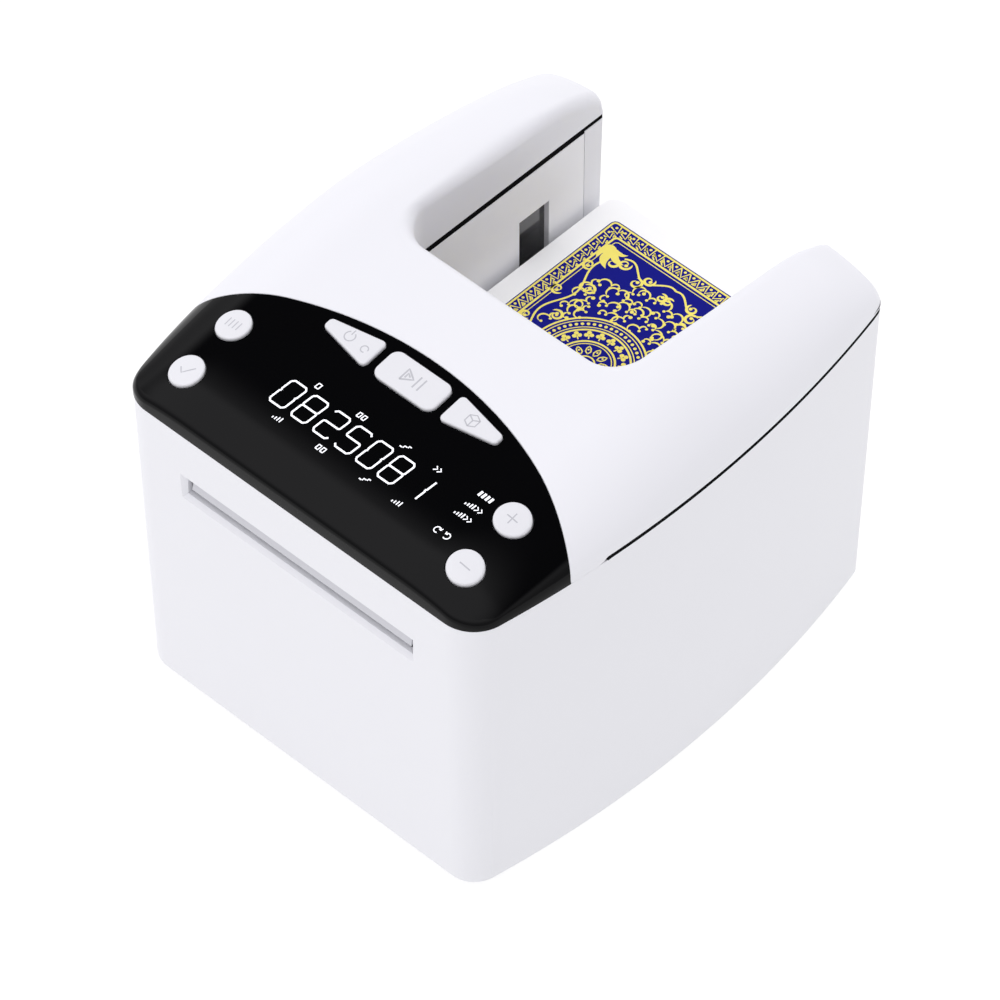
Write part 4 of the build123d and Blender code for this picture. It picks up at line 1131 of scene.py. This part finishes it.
card_centre = (CARD_X * MM, CARD_Y * MM, top_high.z * MM)
trefoil_lobes = [(0.2, 0.62, 0.56), (0.2, -0.62, 0.56), (1.0, 0, 0.56)]
petal_sides = [([(-1.2, 0), (-0.4, 0.62 * side), (0.6, 0.5 * side), (1.3, 0.0)], 0.32) for side in (1, -1)]
for name, seed, count, radius in (
    ("medallion_beads", motif([], [(0, 0, 0.42)]), 56, 12.3),
    ("medallion_trefoils", motif([([(-1.0, 0), (0.2, 0)], 0.3)], trefoil_lobes), 20, 8.6),
    ("medallion_petals", motif(petal_sides, [(0.2, 0, 0.26)]), 12, 4.1),
):
    beads = grown(name, seed, ring_tree, {"Count": count, "Radius": radius * MM, "Centre": card_centre})
    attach(beads, "card_deck")

band_tree, start, end = tree_with(
    "round_the_border", [("Width", LENGTH), ("Length", LENGTH), ("Count", NUMBER), ("Centre", PLACE)]
)
loop = band_tree.nodes.new("GeometryNodeCurvePrimitiveQuadrilateral")
band_tree.links.new(start.outputs["Width"], loop.inputs["Width"])
band_tree.links.new(start.outputs["Length"], loop.inputs["Height"])
along = band_tree.nodes.new("GeometryNodeCurveToPoints")
along.mode = "COUNT"
band_tree.links.new(loop.outputs[0], along.inputs["Curve"])
band_tree.links.new(start.outputs["Count"], along.inputs["Count"])
face_along = band_tree.nodes.new("FunctionNodeAlignRotationToVector")
face_along.axis = "X"
face_along.pivot_axis = "Z"
band_tree.links.new(along.outputs["Tangent"], face_along.inputs["Vector"])
repeat = band_tree.nodes.new("GeometryNodeInstanceOnPoints")
band_tree.links.new(along.outputs["Points"], repeat.inputs["Points"])
band_tree.links.new(start.outputs["Geometry"], repeat.inputs["Instance"])
band_tree.links.new(face_along.outputs[0], repeat.inputs["Rotation"])
shift_band = band_tree.nodes.new("GeometryNodeTransform")
band_tree.links.new(repeat.outputs[0], shift_band.inputs["Geometry"])
band_tree.links.new(start.outputs["Centre"], shift_band.inputs["Translation"])
end_tree(band_tree, shift_band.outputs[0], print_gold, end)
weave = motif(
    [
        ([(-1.3, -1.15), (0.0, 1.15), (1.3, -1.15)], 0.36),
        ([(-0.75, 1.1), (-1.3, 0.2)], 0.34),
        ([(0.75, 1.1), (1.3, 0.2)], 0.34),
    ],
    [(0.0, -0.75, 0.36), (-1.3, 0.85, 0.3)],
)
border = grown(
    "card_back_border", weave, band_tree,
    {
        "Width": (CARD_HALF_X - 8.0) * 2 * MM, "Length": (CARD_HALF_Y - 8.0) * 2 * MM,
        "Count": 92, "Centre": card_centre,
    },
)
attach(border, "card_deck")

# ---------------------------------------------------------------- slot curtain
# Thin flexible strip of pale grey polypropylene that hangs behind the card slot and keeps dust
# out. A dealt card pushes it forward.
slot_z = SEAM - 18.6
curtain = bmesh.new()
curtain_grey = moulded("curtain_polypropylene", (0.62, 0.62, 0.66), rough=0.45, grain=0.00003)
top_y, foot_y = FRONT + 2.7, FRONT + 2.0
strip_top, strip_foot, strip_thick = slot_z + 2.5, slot_z - 1.1, 0.35
section = (
    (top_y, strip_top), (foot_y, strip_foot),
    (foot_y + strip_thick, strip_foot), (top_y + strip_thick, strip_top),
)
rows = [[curtain.verts.new(Vector((x, y, z)) * MM) for y, z in section] for x in (-33.6, 33.6)]
for j in range(4):
    k = (j + 1) % 4
    curtain.faces.new((rows[0][j], rows[0][k], rows[1][k], rows[1][j]))
curtain.faces.new(rows[0])
curtain.faces.new(list(reversed(rows[1])))
finished("slot_curtain", curtain, curtain_grey, "housing", "liner")

# ---------------------------------------------------------------- studio
# A plain pale floor that glows a little, and a bright surround, softly brighter from above and to the
# right. What glossy surfaces mirror has one dark patch, high at the back. There are no lamps.
floor_mesh = bpy.data.meshes.new("studio_floor")
reach = 6.0
floor_corners = [(-reach, -reach, 0), (reach, -reach, 0), (reach, reach, 0), (-reach, reach, 0)]
floor_mesh.from_pydata(floor_corners, [], [(0, 1, 2, 3)])
floor = bpy.data.objects.new("studio_floor", floor_mesh)
bpy.context.scene.collection.objects.link(floor)
floor_white = bpy.data.materials.new("floor_white")
floor_white.use_nodes = True
floor_shader = floor_white.node_tree.nodes["Principled BSDF"]
floor_shader.inputs["Base Color"].default_value = (0.3, 0.3, 0.3, 1)
floor_shader.inputs["Roughness"].default_value = 0.9
floor_shader.inputs["Specular IOR Level"].default_value = 0.0
floor_shader.inputs["Emission Color"].default_value = (1, 1, 1, 1)
floor_shader.inputs["Emission Strength"].default_value = 0.76
floor_mesh.materials.append(floor_white)

world = bpy.data.worlds.new("studio")
bpy.context.scene.world = world
world.use_nodes = True
surround = world.node_tree
for node in list(surround.nodes):
    surround.nodes.remove(node)
out = surround.nodes.new("ShaderNodeOutputWorld")
glow = surround.nodes.new("ShaderNodeBackground")
where = surround.nodes.new("ShaderNodeTexCoord")
split = surround.nodes.new("ShaderNodeSeparateXYZ")
surround.links.new(where.outputs["Generated"], split.inputs[0])


def sky_ramp(axis, dark_end, bright_end, low, high):
    """Soft step of the surround's brightness along one axis."""
    step = surround.nodes.new("ShaderNodeMapRange")
    step.interpolation_type = "SMOOTHSTEP"
    step.inputs["From Min"].default_value = dark_end
    step.inputs["From Max"].default_value = bright_end
    step.inputs["To Min"].default_value = low
    step.inputs["To Max"].default_value = high
    surround.links.new(split.outputs[axis], step.inputs["Value"])
    return step.outputs["Result"]


def sky_mix(operation, a, b):
    """Combine two brightness terms."""
    mix = surround.nodes.new("ShaderNodeMath")
    mix.operation = operation
    surround.links.new(a, mix.inputs[0])
    surround.links.new(b, mix.inputs[1])
    return mix.outputs[0]


behind = sky_ramp("Y", -0.03, 0.16, 0.0, 1.0)
behind = sky_mix("MULTIPLY", behind, sky_ramp("Y", 0.62, 0.80, 1.0, 0.0))
above = sky_mix("MULTIPLY", behind, sky_ramp("Z", 0.45, 0.62, 0.0, 1.0))
one = surround.nodes.new("ShaderNodeValue")
one.outputs[0].default_value = 1.0
open_sky = sky_mix("SUBTRACT", one.outputs[0], above)
mirrored = sky_mix("MULTIPLY", open_sky, sky_ramp("Z", 0.2, 0.8, 0.55, 1.55))
scattered = sky_mix("MULTIPLY", sky_ramp("X", 0.05, 0.8, 1.0, 0.36), sky_ramp("Z", 0.15, 0.8, 0.84, 1.28))
window_light = sky_mix("MULTIPLY", sky_ramp("X", 0.2, 0.5, 0.0, 1.2), sky_ramp("Z", 0.55, 0.8, 0.0, 1.0))
scattered = sky_mix("ADD", scattered, window_light)
path = surround.nodes.new("ShaderNodeLightPath")
choose = surround.nodes.new("ShaderNodeMix")
surround.links.new(path.outputs["Is Glossy Ray"], choose.inputs[0])
surround.links.new(scattered, choose.inputs[2])
surround.links.new(mirrored, choose.inputs[3])
surround.links.new(choose.outputs[0], glow.inputs["Strength"])
glow.inputs["Color"].default_value = (0.985, 0.98, 1.0, 1)
surround.links.new(glow.outputs["Background"], out.inputs["Surface"])

camera_data = bpy.data.cameras.new("camera")
camera = bpy.data.objects.new("camera", camera_data)
bpy.context.scene.collection.objects.link(camera)
azimuth, elevation, distance = math.radians(43.2), math.radians(47.65), 1.6018
away = Vector(
    (math.sin(azimuth) * math.cos(elevation), -math.cos(azimuth) * math.cos(elevation), math.sin(elevation))
)
camera.location = Vector((0, 0, 0.0525)) + away * distance
camera.rotation_mode = "QUATERNION"
camera.rotation_quaternion = (-away).to_track_quat("-Z", "Y")
camera_data.sensor_width = 36.0
camera_data.lens = 254.57
camera_data.shift_x = -0.0046
camera_data.shift_y = -0.0318
camera_data.clip_end = 20.0
bpy.context.scene.camera = camera
bpy.context.scene.view_settings.view_transform = "Standard"
